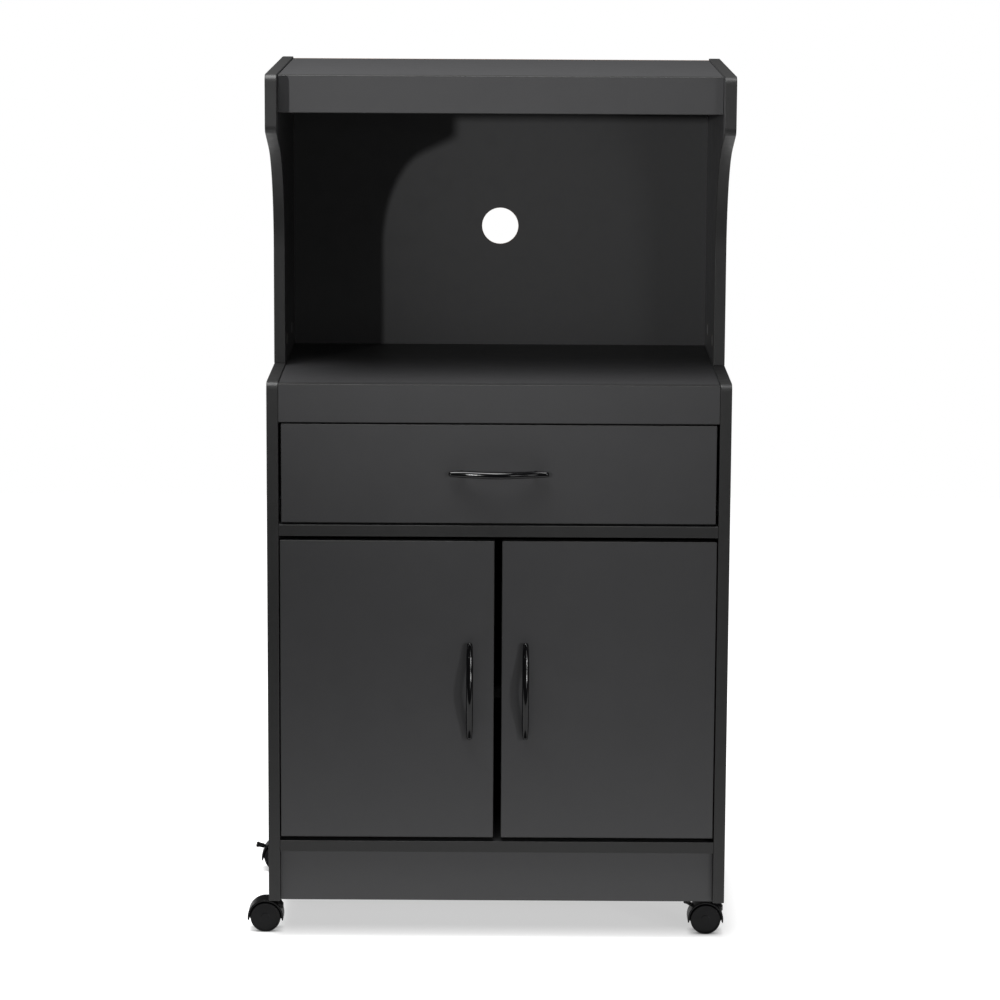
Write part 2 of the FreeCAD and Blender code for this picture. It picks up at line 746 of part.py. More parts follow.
def screw(name, x, y, z):
    """A handle screw from behind the board: its head on the rear face at y, pointing forward."""
    head = size.screw_head_diameter / 2
    shank = size.screw_diameter / 2
    length = size.board + size.screw_bite
    corners = [
        (0, -length),
        (shank, -length),
        (shank, 0),
        (head, 0),
        (size.screw_head_top / 2, size.screw_head_height),
        (0, size.screw_head_height),
    ]
    body = turned(name, corners, plane="XY_Plane")
    return place(body, x, y, z)


def screw_holes(name, places):
    """Clearance holes through a front board for a handle's two screws."""
    radius = size.screw_diameter / 2 + size.screw_play
    return [
        rod(f"{name}_{index}", radius, size.board, x, front, z, "+Y")
        for index, (x, z) in enumerate(places)
    ]


# ---------------------------------------------------------------------------------------------------
# Doors and their concealed hinges
# ---------------------------------------------------------------------------------------------------

door_bottom = bottom_top + size.door_bottom_gap
door_top = divider_top - size.board - size.door_top_gap
door_outer = inner_face - size.door_side_gap
door_rear = front + size.board
hinge_rows = (door_bottom + size.hinge_end_distance, door_top - size.hinge_end_distance)
cup_x = door_outer - size.cup_edge - size.cup_diameter / 2
door_middle = (door_bottom + door_top) / 2
UPRIGHT = Rotation(Vector(0, 1, 0), 90)


def make_doors():
    inner_edge = size.door_centre_gap / 2
    handle_x = inner_edge + size.door_handle_inset
    foot = size.handle_hole_spacing / 2
    places = [(handle_x, door_middle - foot), (handle_x, door_middle + foot)]
    stock = block(
        "door_stock", (inner_edge, door_outer), (front, door_rear), (door_bottom, door_top)
    )
    tools = screw_holes("door_screw_hole", places)
    for row, z in enumerate(hinge_rows):
        radius = size.cup_diameter / 2
        depth = size.cup_bore_depth
        tools.append(rod(f"cup_bore_{row}", radius, depth, cup_x, door_rear, z, "-Y"))
    right = keep(cut("right_door", stock, tools), "right_door")
    keep(mirrored("left_door", right), "left_door")

    screws = [screw(f"door_screw_{row}", x, door_rear, z) for row, (x, z) in enumerate(places)]
    right_screws = keep(group("right_door_screws", screws), "right_door_handle_screws")
    keep(mirrored("left_door_screws", right_screws), "left_door_handle_screws")
    for side, sign in (("left", -1), ("right", 1)):
        make_handle(f"{side}_door_handle", handle_x * sign, front, door_middle, UPRIGHT)


def hinge_cup(name, z):
    """A drawn steel cup with a lip on the door's rear face and two wings above and below it."""
    outer = size.cup_diameter / 2 - size.cup_play
    depth = size.cup_bore_depth - size.cup_play
    wall = size.cup_wall
    inner = outer - wall
    corners = [
        (0, -depth),
        (outer, -depth),
        (outer, 0),
        (outer + wall, 0),
        (outer + wall, wall),
        (inner, wall),
        (inner, wall - depth),
        (0, wall - depth),
    ]
    body = turned(name, corners, plane="XY_Plane")
    wings = new_sketch(body, "XZ_Plane")
    half_wing = size.cup_wing_width / 2
    for sign in (-1, 1):
        near_end = (outer - wall / 2) * sign
        far_end = size.cup_wing_length / 2 * sign
        ends = sorted((near_end, far_end), key=number_of)
        add_polygon(
            wings,
            [
                (-half_wing, ends[0]),
                (half_wing, ends[0]),
                (half_wing, ends[1]),
                (-half_wing, ends[1]),
            ],
        )
    pad(body, wings, wall, reverse=True)
    return place(body, cup_x, door_rear, z)


def hinge_arm(name, z):
    """The cranked arm: along the side panel, then across and forward into the cup."""
    wall_x = inner_face - size.plate_thickness
    far_x = inner_face - size.arm_tip_reach
    tip_y = door_rear - size.cup_bore_depth + size.cup_play + size.cup_wall + size.arm_tip_gap
    rear_y = door_rear + size.plate_centre + size.plate_length / 2
    bend_y = door_rear + size.arm_thickness
    thick = size.arm_thickness
    corners = [
        (far_x - thick, tip_y),
        (far_x, tip_y),
        (far_x, bend_y),
        (wall_x, bend_y + thick),
        (wall_x, rear_y),
        (wall_x - thick, rear_y),
        (wall_x - thick, bend_y + thick * 2),
        (far_x - thick, bend_y + thick),
    ]
    body = new_body(name)
    outline = new_sketch(body, "XY_Plane")
    add_polygon(outline, corners)
    pad(body, outline, size.arm_height, both_ways=True)
    return place(body, 0, 0, z)


def make_hinges():
    cups = group("right_cups", [hinge_cup(f"cup_{row}", z) for row, z in enumerate(hinge_rows)])
    keep(cups, "right_hinge_cups")
    keep(mirrored("left_cups", cups), "left_hinge_cups")
    arms = group("arms_right", [hinge_arm(f"arm_{row}", z) for row, z in enumerate(hinge_rows)])
    keep(group("hinge_arms", [arms, mirrored("arms_left", arms)]), "hinge_arms")
    plate_y = door_rear + size.plate_centre
    plates = group(
        "plates_right",
        [
            block(
                f"plate_{row}",
                (inner_face - size.plate_thickness, inner_face),
                (plate_y - size.plate_length / 2, plate_y + size.plate_length / 2),
                (z - size.plate_height / 2, z + size.plate_height / 2),
            )
            for row, z in enumerate(hinge_rows)
        ],
    )
    keep(group("hinge_plates", [plates, mirrored("plates_left", plates)]), "hinge_plates")


# ---------------------------------------------------------------------------------------------------
# Drawer
# ---------------------------------------------------------------------------------------------------

drawer_outer = inner_face - size.runner_gap
drawer_base = divider_top + size.drawer_lift
drawer_front_bottom = divider_top + size.drawer_bottom_gap
drawer_front_top = drawer_opening_top - size.drawer_top_gap
drawer_rear = rear - size.drawer_rear_gap
groove_bottom = drawer_base + size.groove_rise
groove_top = groove_bottom + size.back_board + size.groove_play


def make_drawer():
    half_front = inner_face - size.drawer_side_gap
    inner_side = drawer_outer - size.drawer_board
    groove_half = inner_side + size.groove_depth
    handle_z = (drawer_front_bottom + drawer_front_top) / 2 + size.drawer_handle_rise
    places = [(size.handle_hole_spacing / 2 * sign, handle_z) for sign in (-1, 1)]
    stock = block(
        "drawer_front_stock",
        (-half_front, half_front),
        (front, door_rear),
        (drawer_front_bottom, drawer_front_top),
    )
    front_groove = block(
        "drawer_front_groove",
        (-groove_half, groove_half),
        (door_rear - size.groove_depth, door_rear),
        (groove_bottom, groove_top),
    )
    tools = screw_holes("drawer_screw_hole", places) + [front_groove]
    keep(cut("drawer_front", stock, tools), "drawer_front")
    screws = [screw(f"drawer_screw_{row}", x, door_rear, z) for row, (x, z) in enumerate(places)]
    keep(group("drawer_screws", screws), "drawer_handle_screws")
    make_handle("drawer_handle", 0, front, handle_z, Rotation())

    side_stock = block(
        "drawer_side_stock",
        (inner_side, drawer_outer),
        (door_rear, drawer_rear),
        (drawer_base, drawer_base + size.drawer_side_height),
    )
    side_groove = block(
        "drawer_side_groove",
        (inner_side, groove_half),
        (door_rear, drawer_rear),
        (groove_bottom, groove_top),
    )
    right = keep(cut("drawer_side_right", side_stock, [side_groove]), "drawer_side_right")
    keep(mirrored("drawer_side_left", right), "drawer_side_left")
    back = block(
        "drawer_back",
        (-inner_side, inner_side),
        (drawer_rear - size.drawer_board, drawer_rear),
        (groove_top, drawer_base + size.drawer_side_height),
    )
    keep(back, "drawer_back")
    play = size.groove_play
    bottom = block(
        "drawer_bottom",
        (-groove_half + play, groove_half - play),
        (door_rear - size.groove_depth + play, drawer_rear),
        (groove_bottom, groove_bottom + size.back_board),
    )
    keep(bottom, "drawer_bottom")


# ---------------------------------------------------------------------------------------------------
# Roller runners of the drawer, all shown for the right side and mirrored to the left
# ---------------------------------------------------------------------------------------------------

runner_front = front + size.runner_setback
runner_rear = rear - size.runner_rear_gap
roller_radius = size.roller_diameter / 2
sheet_metal = size.runner_sheet
track_z = drawer_base - sheet_metal - size.foot_play
roller_z = track_z + size.roller_play + roller_radius
flange_under = roller_z + roller_radius + size.flange_play
channel_top_under = flange_under + sheet_metal + size.channel_play
channel_roller_z = flange_under - size.roller_play - roller_radius


def make_runner(name, corners, pin_y, pin_z, pin_from, pin_way, pin_length):
    """A rolled sheet profile along Y with the pin of its roller riveted in its web."""
    body = new_body(name)
    outline = new_sketch(body, "XZ_Plane")
    add_polygon(outline, corners)
    pad(body, outline, runner_rear - runner_front, reverse=True)
    pin = new_sketch(body, "YZ_Plane", pin_from)
    add_circle(pin, pin_y - runner_front, pin_z, size.roller_pin_diameter / 2)
    pad(body, pin, pin_length, reverse=(pin_way == "-X"))
    place(body, 0, runner_front, 0)
    return body


def make_roller(name, x, y, z):
    """A nylon roller with a slight crown, bored for its pin; x is its middle."""
    bore = size.roller_pin_diameter / 2 + size.running_play
    half = size.roller_width / 2
    edge = roller_radius - size.roller_crown
    corners = [(-half, bore), (half, bore), (half, edge), (0, roller_radius), (-half, edge)]
    return place(turned(name, corners, plane="XY_Plane", axis="H_Axis"), x, y, z)


def make_runners():
    web_inner = drawer_outer
    web_outer = drawer_outer + sheet_metal
    flange_tip = web_outer + size.runner_flange
    foot_tip = drawer_outer - size.runner_foot
    flange_top = flange_under + sheet_metal
    foot_top = drawer_base
    foot_under = drawer_base - sheet_metal
    drawer_profile = [
        (foot_tip, foot_under),
        (web_outer, foot_under),
        (web_outer, flange_under),
        (flange_tip, flange_under),
        (flange_tip, flange_top),
        (web_inner, flange_top),
        (web_inner, foot_top),
        (foot_tip, foot_top),
    ]
    rear_pin_y = runner_rear - size.roller_inset
    pin_length = size.runner_flange
    drawer_runner = make_runner(
        "drawer_runner", drawer_profile, rear_pin_y, roller_z, web_inner, "+X", pin_length
    )
    keep(drawer_runner, "drawer_runner_right")
    keep(mirrored("drawer_runner_twin", drawer_runner), "drawer_runner_left")

    wall = inner_face
    channel_web = inner_face - sheet_metal
    foot_edge = inner_face - size.channel_foot
    lip_edge = inner_face - size.channel_lip
    lip_top = channel_top_under + sheet_metal
    channel_profile = [
        (foot_edge, track_z - sheet_metal),
        (wall, track_z - sheet_metal),
        (wall, lip_top),
        (lip_edge, lip_top),
        (lip_edge, channel_top_under),
        (channel_web, channel_top_under),
        (channel_web, track_z),
        (foot_edge, track_z),
    ]
    front_pin_y = runner_front + size.roller_inset
    channel = make_runner(
        "cabinet_runner", channel_profile, front_pin_y, channel_roller_z, wall, "-X", pin_length
    )
    keep(channel, "cabinet_runner_right")
    keep(mirrored("cabinet_runner_twin", channel), "cabinet_runner_left")

    side_play = (size.runner_gap - sheet_metal * 2 - size.roller_width) / 4
    drawer_roller_x = web_outer + side_play + size.roller_width / 2
    channel_roller_x = channel_web - side_play - size.roller_width / 2
    rollers = {
        "drawer_roller": make_roller("rear_roller", drawer_roller_x, rear_pin_y, roller_z),
        "cabinet_roller": make_roller("front_roller", channel_roller_x, front_pin_y, channel_roller_z),
    }
    for label, roller in rollers.items():
        keep(roller, label + "_right")
        keep(mirrored(label + "_twin", roller), label + "_left")


# ---------------------------------------------------------------------------------------------------
# Casters.  Each is drawn with its stem on the Z axis and its wheels trailing towards -X.
# ---------------------------------------------------------------------------------------------------

wheel_radius = size.wheel_diameter / 2
axle_x = -size.caster_trail
axle_z = wheel_radius
hood_inner = wheel_radius + size.hood_gap
hood_outer = hood_inner + size.hood_wall
neck_top = base - size.socket_flange - size.neck_gap
lever_pivot_x = axle_x - size.lever_pivot_trail
lever_pivot_z = axle_z + size.lever_pivot_rise

# the two casters with a brake, and the angle that each lever stands at
BRAKED = {"caster_rear_left": size.lever_down, "caster_front_right": size.lever_up}


def make_hood(name, braked):
    """The hood: a half drum over both wheels, hollowed from each side down to the middle web."""
    body = new_body(name)
    drum = new_sketch(body, "XZ_Plane")
    chord = axle_z - size.hood_tip_drop
    half_chord = root(hood_outer * hood_outer - size.hood_tip_drop * size.hood_tip_drop)
    left = (axle_x - half_chord, chord)
    right = (axle_x + half_chord, chord)
    crown = Vector(number_of(axle_x), number_of(axle_z + hood_outer), 0)
    ends = [Vector(number_of(x), number_of(z), 0) for x, z in (right, left)]
    drum.addGeometry(Part.Arc(ends[0], crown, ends[1]))
    drum.addGeometry(Part.LineSegment(ends[1], ends[0]))
    drum.addConstraint(Sketcher.Constraint("Coincident", 0, 2, 1, 1))
    drum.addConstraint(Sketcher.Constraint("Coincident", 1, 2, 0, 1))
    pin_down(drum, 1, 1, *left)
    pin_down(drum, 1, 2, *right)
    dimension(drum, "Radius", (0,), hood_outer, "drum_radius")
    pad(body, drum, size.hood_width, both_ways=True)

    neck = new_sketch(body, "XY_Plane", neck_top)
    add_circle(neck, 0, 0, size.neck_diameter / 2)
    pad(body, neck, neck_top - axle_z, reverse=True)

    well_depth = (size.hood_width - size.hood_web) / 2
    for side in (-1, 1):
        well = new_sketch(body, "XZ_Plane", size.hood_width / 2 * side)
        add_circle(well, axle_x, axle_z, hood_inner)
        pocket(body, well, well_depth, reverse=(side < 0))

    bore = new_sketch(body, "XZ_Plane")
    add_circle(bore, axle_x, axle_z, size.axle_diameter / 2 + size.running_play)
    pocket(body, bore, size.hood_width, both_ways=True)
    seat = new_sketch(body, "XY_Plane", neck_top)
    add_circle(seat, 0, 0, size.stem_diameter / 2)
    pocket(body, seat, size.stem_seat)
    if braked:
        head = new_sketch(body, "XZ_Plane")
        head_radius = size.lever_head_diameter / 2 + size.running_play
        add_circle(head, lever_pivot_x, lever_pivot_z, head_radius)
        pocket(body, head, size.hood_web, both_ways=True)
        swing = new_sketch(body, "XZ_Plane")
        add_polygon(swing, lever_swing())
        pocket(body, swing, size.hood_web, both_ways=True)
    return body


def along(angle, reach, across=0):
    """A point of the lever: so far along it and so far to its upper side, at this angle."""
    x = lever_pivot_x - cosine(angle) * reach + sine(angle) * across
    z = lever_pivot_z + sine(angle) * reach + cosine(angle) * across
    return x, z


def lever_swing():
    """The slot that the lever's arm swings in, from the pivot out through the shell."""
    low = size.lever_down - size.lever_slot_play
    high = size.lever_up + size.lever_slot_play
    half = size.lever_arm_thickness / 2
    reach = size.lever_reach
    middle = (low + high) / 2
    return [
        along(low, reach, -half),
        along(low, 0, -half),
        along(middle, -half),
        along(high, 0, half),
        along(high, reach, half),
    ]


def make_lever(name, angle):
    """The brake lever: a round head held in the web, an arm and a wide pedal outside the hood."""
    body = new_body(name)
    thickness = size.hood_web - size.lever_web_play * 2
    head = new_sketch(body, "XZ_Plane")
    add_circle(head, lever_pivot_x, lever_pivot_z, size.lever_head_diameter / 2)
    pad(body, head, thickness, both_ways=True)
    half = size.lever_arm_thickness / 2
    arm = new_sketch(body, "XZ_Plane")
    overlap = size.pedal_start + size.pedal_thickness / 2
    add_polygon(
        arm,
        [
            along(angle, 0, -half),
            along(angle, overlap, -half),
            along(angle, overlap, half),
            along(angle, 0, half),
        ],
    )
    pad(body, arm, thickness, both_ways=True)
    pedal = new_sketch(body, "XZ_Plane")
    half_pedal = size.pedal_thickness / 2
    add_polygon(
        pedal,
        [
            along(angle, size.pedal_start, -half_pedal),
            along(angle, size.lever_reach, -half_pedal),
            along(angle, size.lever_reach, half_pedal),
            along(angle, size.pedal_start, half_pedal),
        ],
    )
    pad(body, pedal, size.pedal_width, both_ways=True)
    return body


def make_wheel(name):
    """One wheel: a dished disc with rim and hub, its open side towards the web."""
    near_side = size.hood_web / 2 + size.wheel_play
    far_side = size.hood_width / 2 - size.wheel_play
    bore = size.axle_diameter / 2
    hub = size.wheel_hub_diameter / 2
    rim = wheel_radius - size.wheel_rim
    floor = far_side - size.wheel_face
    corners = [
        (bore, near_side),
        (hub, near_side),
        (hub, floor),
        (rim, floor),
        (rim, near_side),
        (wheel_radius, near_side),
        (wheel_radius, far_side - size.wheel_chamfer),
        (wheel_radius - size.wheel_chamfer, far_side),
        (bore, far_side),
    ]
    return turned(name, corners, plane="XY_Plane")


def make_stem(name):
    """The steel stem, waisted near its top for the socket's grip."""
    low = neck_top - size.stem_seat
    high = base + size.stem_reach
    radius = size.stem_diameter / 2
    waist = radius - size.stem_groove
    corners = [
        (0, low),
        (radius, low),
        (radius, high - radius * 2),
        (waist, high - radius * 1.5),
        (waist, high - radius),
        (radius, high - radius),
        (radius, high - radius / 2),
        (radius / 2, high),
        (0, high),
    ]
    return turned(name, corners)


def make_socket(name):
    """The flanged sleeve pressed into the panel's edge."""
    inner = size.stem_diameter / 2 + size.running_play
    outer = inner + size.socket_wall
    flange = size.socket_flange_diameter / 2
    top = base + size.socket_depth
    corners = [
        (inner, base - size.socket_flange),
        (flange, base - size.socket_flange),
        (flange, base),
        (outer, base),
        (outer, top),
        (inner, top),
    ]
    return turned(name, corners)


def make_casters():
    sockets = []
    for row, y in caster_rows.items():
        for side, sign in (("left", -1), ("right", 1)):
            name = f"caster_{row}_{side}"
            x = side_middle * sign
            braked = name in BRAKED
            keep(place(make_hood(name + "_hood", braked), x, y, 0), name + "_hood")
            keep(place(make_stem(name + "_stem"), x, y, 0), name + "_stem")
            if braked:
                lever = make_lever(name + "_brake_lever", BRAKED[name])
                keep(place(lever, x, y, 0), name + "_brake_lever")
            axle_length = size.hood_width - size.wheel_play * 2 - size.wheel_face
            axle = rod(
                name + "_axle",
                size.axle_diameter / 2,
                axle_length,
                x + axle_x,
                y - axle_length / 2,
                axle_z,
                "+Y",
            )
            keep(axle, name + "_axle")
            wheels = []
            for inner, turn in enumerate((Rotation(), Rotation(Vector(0, 0, 1), 180))):
                wheel = make_wheel(f"{name}_wheel_{inner}")
                wheels.append(place(wheel, x + axle_x, y, axle_z, turn))
            keep(group(name + "_wheels", wheels), name + "_wheels")
            sockets.append(place(make_socket(name + "_socket"), x, y, 0))
    keep(group("caster_sockets", sockets), "caster_sockets")


# ---------------------------------------------------------------------------------------------------
# Build, check and write
# ---------------------------------------------------------------------------------------------------

make_boards()
make_back_boards()
make_hutch_sides()
make_lower_sides()
make_inner_shelf()
make_doors()
make_hinges()
make_drawer()
make_runners()
make_casters()
keep(group("cam_fittings", cam_solids), "cam_fittings")
doc.recompute()

for feature in doc.Objects:
    if "Invalid" in feature.State or "Error" in feature.State:
        raise RuntimeError(f"{feature.Label} did not build: {feature.State}")
for feature in sub_parts:
    if feature.Shape.isNull() or not feature.Shape.isValid():
        raise RuntimeError(f"{feature.Label} has no valid shape")

os.makedirs("parts", exist_ok=True)
for feature in sub_parts:
    feature.Shape.exportStep(f"parts/{feature.Label}.step")
print(len(sub_parts), "sub-parts written")
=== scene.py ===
"""Looks of a microwave cart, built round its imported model: laminated boards with banded edges,
glossy bow handles, twin-wheel casters, and the hardware inside."""

import math

import bpy
import numpy as np
from bpy.props import FloatProperty, FloatVectorProperty, PointerProperty
from mathutils import Matrix, Vector
from mathutils.geometry import delaunay_2d_cdt


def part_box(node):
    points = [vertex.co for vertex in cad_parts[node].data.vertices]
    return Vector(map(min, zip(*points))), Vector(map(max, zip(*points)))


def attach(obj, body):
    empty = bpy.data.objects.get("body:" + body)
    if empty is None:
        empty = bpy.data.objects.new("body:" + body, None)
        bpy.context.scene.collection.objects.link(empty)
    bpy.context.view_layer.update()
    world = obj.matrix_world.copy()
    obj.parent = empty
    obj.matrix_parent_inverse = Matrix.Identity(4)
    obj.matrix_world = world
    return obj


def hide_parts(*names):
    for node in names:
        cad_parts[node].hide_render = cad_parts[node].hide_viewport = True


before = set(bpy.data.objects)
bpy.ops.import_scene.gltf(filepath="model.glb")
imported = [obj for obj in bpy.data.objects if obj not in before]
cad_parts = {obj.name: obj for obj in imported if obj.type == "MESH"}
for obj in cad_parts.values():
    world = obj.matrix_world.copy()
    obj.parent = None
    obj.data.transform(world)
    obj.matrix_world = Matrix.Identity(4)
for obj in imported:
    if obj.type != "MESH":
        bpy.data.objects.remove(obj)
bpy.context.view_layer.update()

bl_info = {
    "name": "Microwave cart",
    "version": (1, 0, 0),
    "blender": (4, 5, 0),
    "location": "3D View > Sidebar > Cart",
    "description": "Builds the boards, handles, casters and fittings of a microwave cart",
    "category": "Object",
}


# ---- Colours, sizes and settings ----


def linear(code):
    """An sRGB hex colour as linear red, green and blue, with alpha 1."""
    share = np.array([int(code[i : i + 2], 16) for i in (1, 3, 5)]) / 255
    value = np.where(share <= 0.04045, share / 12.92, ((share + 0.055) / 1.055) ** 2.4)
    return (*value.tolist(), 1.0)


def colour_setting(name, code, description):
    return FloatVectorProperty(
        name=name,
        description=description,
        default=linear(code),
        subtype="COLOR",
        size=4,
        min=0,
        max=1,
    )


def length_setting(name, millimetres, description):
    return FloatProperty(
        name=name, description=description, default=millimetres / 1000, unit="LENGTH", min=0
    )


class CartFinish(bpy.types.PropertyGroup):
    """Colours of the cart's finishes."""

    melamine: colour_setting("Melamine", "#2d2d2e", "Printed face of the boards")
    edge_band: colour_setting("Edge band", "#262626", "Plastic band glued to the boards' edges")
    printed: colour_setting("Printed hardboard", "#1b1b1c", "Printed face of the thin backs")
    core: colour_setting("Board core", "#a98f6c", "Raw particle board inside bores")
    raw_hardboard: colour_setting("Raw hardboard", "#6d4d33", "Unprinted rear of the thin backs")
    handle: colour_setting("Handle", "#070708", "Gloss black of the bow handles")
    caster: colour_setting("Caster", "#0a0a0b", "Black nylon of hoods, wheels and levers")
    runner: colour_setting("Runner", "#26272a", "Epoxy coat of the drawer's runners")


class CartSizes(bpy.types.PropertyGroup):
    """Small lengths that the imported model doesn't hold."""

    board_ease: length_setting("Board ease", 0.9, "Rounding of a board's edges")
    bore_ease: length_setting("Bore ease", 0.3, "Rounding of a bore's rim")


# ---- Surfaces ----
# Everything is worked out in millimetres and turned to metres as it becomes a mesh.

# points closer than a 2000th of a millimetre become one
WELDS_PER_MM = 2000


class Surface:
    """Grids and flat regions, each with its exact normals, gathered and welded into one mesh."""

    def __init__(self):
        self.points = []
        self.normals = []
        self.quads = []
        self.triangles = []
        self.count = 0

    def add(self, points, normals, faces, slot):
        """Faces index the points given with them; a face of four goes to quads, of three to
        triangles, and each is turned so that it faces the way its normals do."""
        points = np.asarray(points, float).reshape(-1, 3)
        normals = np.asarray(normals, float).reshape(-1, 3)
        faces = np.asarray(faces, int)
        a, b, c = (points[faces[:, i]] for i in (0, 1, faces.shape[1] - 1))
        d = points[faces[:, 2]]
        facing = np.cross(b - a, d - a) + np.cross(d - a, c - a)
        wrong = np.einsum("ij,ij->i", facing, normals[faces].sum(1)) < 0
        faces[wrong] = faces[wrong][:, ::-1]
        kind = self.quads if faces.shape[1] == 4 else self.triangles
        kind.append((faces + self.count, np.full(len(faces), slot)))
        self.points.append(points)
        self.normals.append(normals)
        self.count += len(points)

    def grid(self, points, normals, closed_rows=False, closed_columns=False, slot=0):
        """A sheet of quads through an array of points with rows and columns."""
        rows, columns = points.shape[:2]
        index = np.arange(rows * columns).reshape(rows, columns)
        if closed_rows:
            index = np.vstack([index, index[:1]])
        if closed_columns:
            index = np.hstack([index, index[:, :1]])
        corners = [index[:-1, :-1], index[1:, :-1], index[1:, 1:], index[:-1, 1:]]
        self.add(points, normals, np.stack(corners, -1).reshape(-1, 4), slot)

    def build(self, name, materials):
        """Points that share a place become one vertex, faces that a pole has pinched become
        triangles, and each face corner keeps the exact normal it came with."""
        points = np.vstack(self.points)
        normals = np.vstack(self.normals)
        normals /= np.linalg.norm(normals, axis=1, keepdims=True)
        keys = np.round(points * WELDS_PER_MM).astype(np.int64)
        _, first, place = np.unique(keys, axis=0, return_index=True, return_inverse=True)
        place = place.reshape(-1)
        quads = np.vstack([f for f, _ in self.quads])
        quad_slots = np.concatenate([s for _, s in self.quads])
        triangles = [f for f, _ in self.triangles]
        triangle_slots = [s for _, s in self.triangles]
        welded = place[quads]
        whole = np.ones(len(quads), bool)
        for side in range(4):
            pinched = whole & (welded[:, side] == welded[:, (side + 1) % 4])
            triangles.append(np.delete(quads[pinched], side, axis=1))
            triangle_slots.append(quad_slots[pinched])
            whole &= ~pinched
        triangles = np.vstack(triangles)
        triangle_slots = np.concatenate(triangle_slots)
        corners = place[triangles]
        sound = (
            (corners[:, 0] != corners[:, 1])
            & (corners[:, 1] != corners[:, 2])
            & (corners[:, 2] != corners[:, 0])
        )
        triangles, triangle_slots = triangles[sound], triangle_slots[sound]
        quads, quad_slots = quads[whole], quad_slots[whole]

        mesh = bpy.data.meshes.new(name)
        faces = place[quads].tolist() + place[triangles].tolist()
        mesh.from_pydata((points[first] / 1000).tolist(), [], faces)
        mesh.polygons.foreach_set("use_smooth", np.ones(len(faces), bool))
        mesh.polygons.foreach_set("material_index", np.concatenate([quad_slots, triangle_slots]))
        for material in materials:
            mesh.materials.append(material)
        corner_normals = normals[np.concatenate([quads.reshape(-1), triangles.reshape(-1)])]
        mesh.normals_split_custom_set(corner_normals.tolist())
        mesh.update()
        piece = bpy.data.objects.new(name, mesh)
        bpy.context.scene.collection.objects.link(piece)
        return piece


def rounded(corners, radii, steps=4):
    """A closed outline with each corner turned into an arc of its radius.  The arc's centre lies
    on the corner's bisector, radius / sin(half the corner) away, and the arc touches both sides.
    Returns the points and the outward normal at each; the outline runs anticlockwise."""
    corners = np.asarray(corners, float)
    radii = np.broadcast_to(np.asarray(radii, float), len(corners))
    back = corners - np.roll(corners, 1, 0)
    ahead = np.roll(corners, -1, 0) - corners
    back /= np.linalg.norm(back, axis=1, keepdims=True)
    ahead /= np.linalg.norm(ahead, axis=1, keepdims=True)
    turn = np.arctan2(back[:, 0] * ahead[:, 1] - back[:, 1] * ahead[:, 0], (back * ahead).sum(1))
    reach = radii * np.abs(np.tan(turn / 2))
    start = np.arctan2(-back[:, 0], back[:, 1])
    share = np.linspace(0, 1, steps + 1)
    angle = start[:, None] + turn[:, None] * share
    normals = np.stack([np.cos(angle), np.sin(angle)], -1)
    inward = np.stack([-back[:, 1], back[:, 0]], -1) * np.sign(turn)[:, None]
    centres = corners - back * reach[:, None] + inward * radii[:, None]
    arcs = centres[:, None] + normals * (radii * np.sign(turn))[:, None, None]
    return arcs.reshape(-1, 2), normals.reshape(-1, 2)


def circle(u, v, radius, steps=40):
    """A hole's outline: the points of a circle, with normals that point at its centre."""
    angle = np.linspace(0, 2 * np.pi, steps, endpoint=False)
    out = np.stack([np.cos(angle), np.sin(angle)], -1)
    return np.array([u, v]) + out * radius, -out


def region(outer, holes):
    """Triangles that fill a flat outline round its holes, by constrained Delaunay."""
    loops = [outer, *holes]
    flat = np.vstack(loops)
    ends = np.cumsum([len(loop) for loop in loops])
    edges = []
    for end, loop in zip(ends, loops):
        index = np.arange(end - len(loop), end)
        edges += np.stack([index, np.roll(index, -1)], -1).tolist()
    found = delaunay_2d_cdt([Vector(p) for p in flat.tolist()], edges, [], 0, 1e-7)
    source = np.array([ids[0] for ids in found[3]])
    triangles = source[np.array(found[2])]
    middle = flat[triangles].mean(1)
    keep = inside(middle, outer)
    for hole in holes:
        keep &= ~inside(middle, hole)
    return flat, triangles[keep]


def inside(points, loop):
    """Whether each point lies in the loop: a ray along u crosses it an odd number of times."""
    following = np.roll(loop, -1, 0)
    v = points[:, 1, None]
    spans = (loop[:, 1] > v) != (following[:, 1] > v)
    rise = np.where(following[:, 1] == loop[:, 1], 1, following[:, 1] - loop[:, 1])
    crossing = loop[:, 0] + (v - loop[:, 1]) * (following[:, 0] - loop[:, 0]) / rise
    return (spans & (points[:, 0, None] < crossing)).sum(1) % 2 == 1


# rings across the ease at each end of a wall, after the first
EASE_STEPS = 3


def eased_levels(low, high, ease, between):
    """Where each ring of an eased wall lies between its two faces: its level, how far it is drawn
    in, and how its normal leans.  Each end is a quarter circle of the ease's radius."""
    turn = np.linspace(0, np.pi / 2, EASE_STEPS + 1)
    middle = np.linspace(low + ease, high - ease, between + 2)[1:-1]
    rise = ease * (1 - np.cos(turn))
    draw = ease * (1 - np.sin(turn))
    levels = np.concatenate([low + rise, middle, high - rise[::-1]])
    drawn_in = np.concatenate([draw, middle * 0, draw[::-1]])
    lean = np.concatenate([-np.cos(turn), middle * 0, np.cos(turn[::-1])])
    return levels, drawn_in, lean


def ringed(flat, level):
    """Rings of flat coordinates, each ring with its own level beside them."""
    level = np.broadcast_to(level[:, None, None], (*flat.shape[:2], 1))
    return np.concatenate([flat, level], -1)


# which of the flat coordinates u (0) and v (1) and of the level (2) becomes x, y and z: with the
# level along X, Y or Z, and once more along Y with u across the cart and v up
LAYOUTS = {"X": (2, 0, 1), "Y": (1, 2, 0), "Z": (0, 1, 2), "side view": (0, 2, 1)}


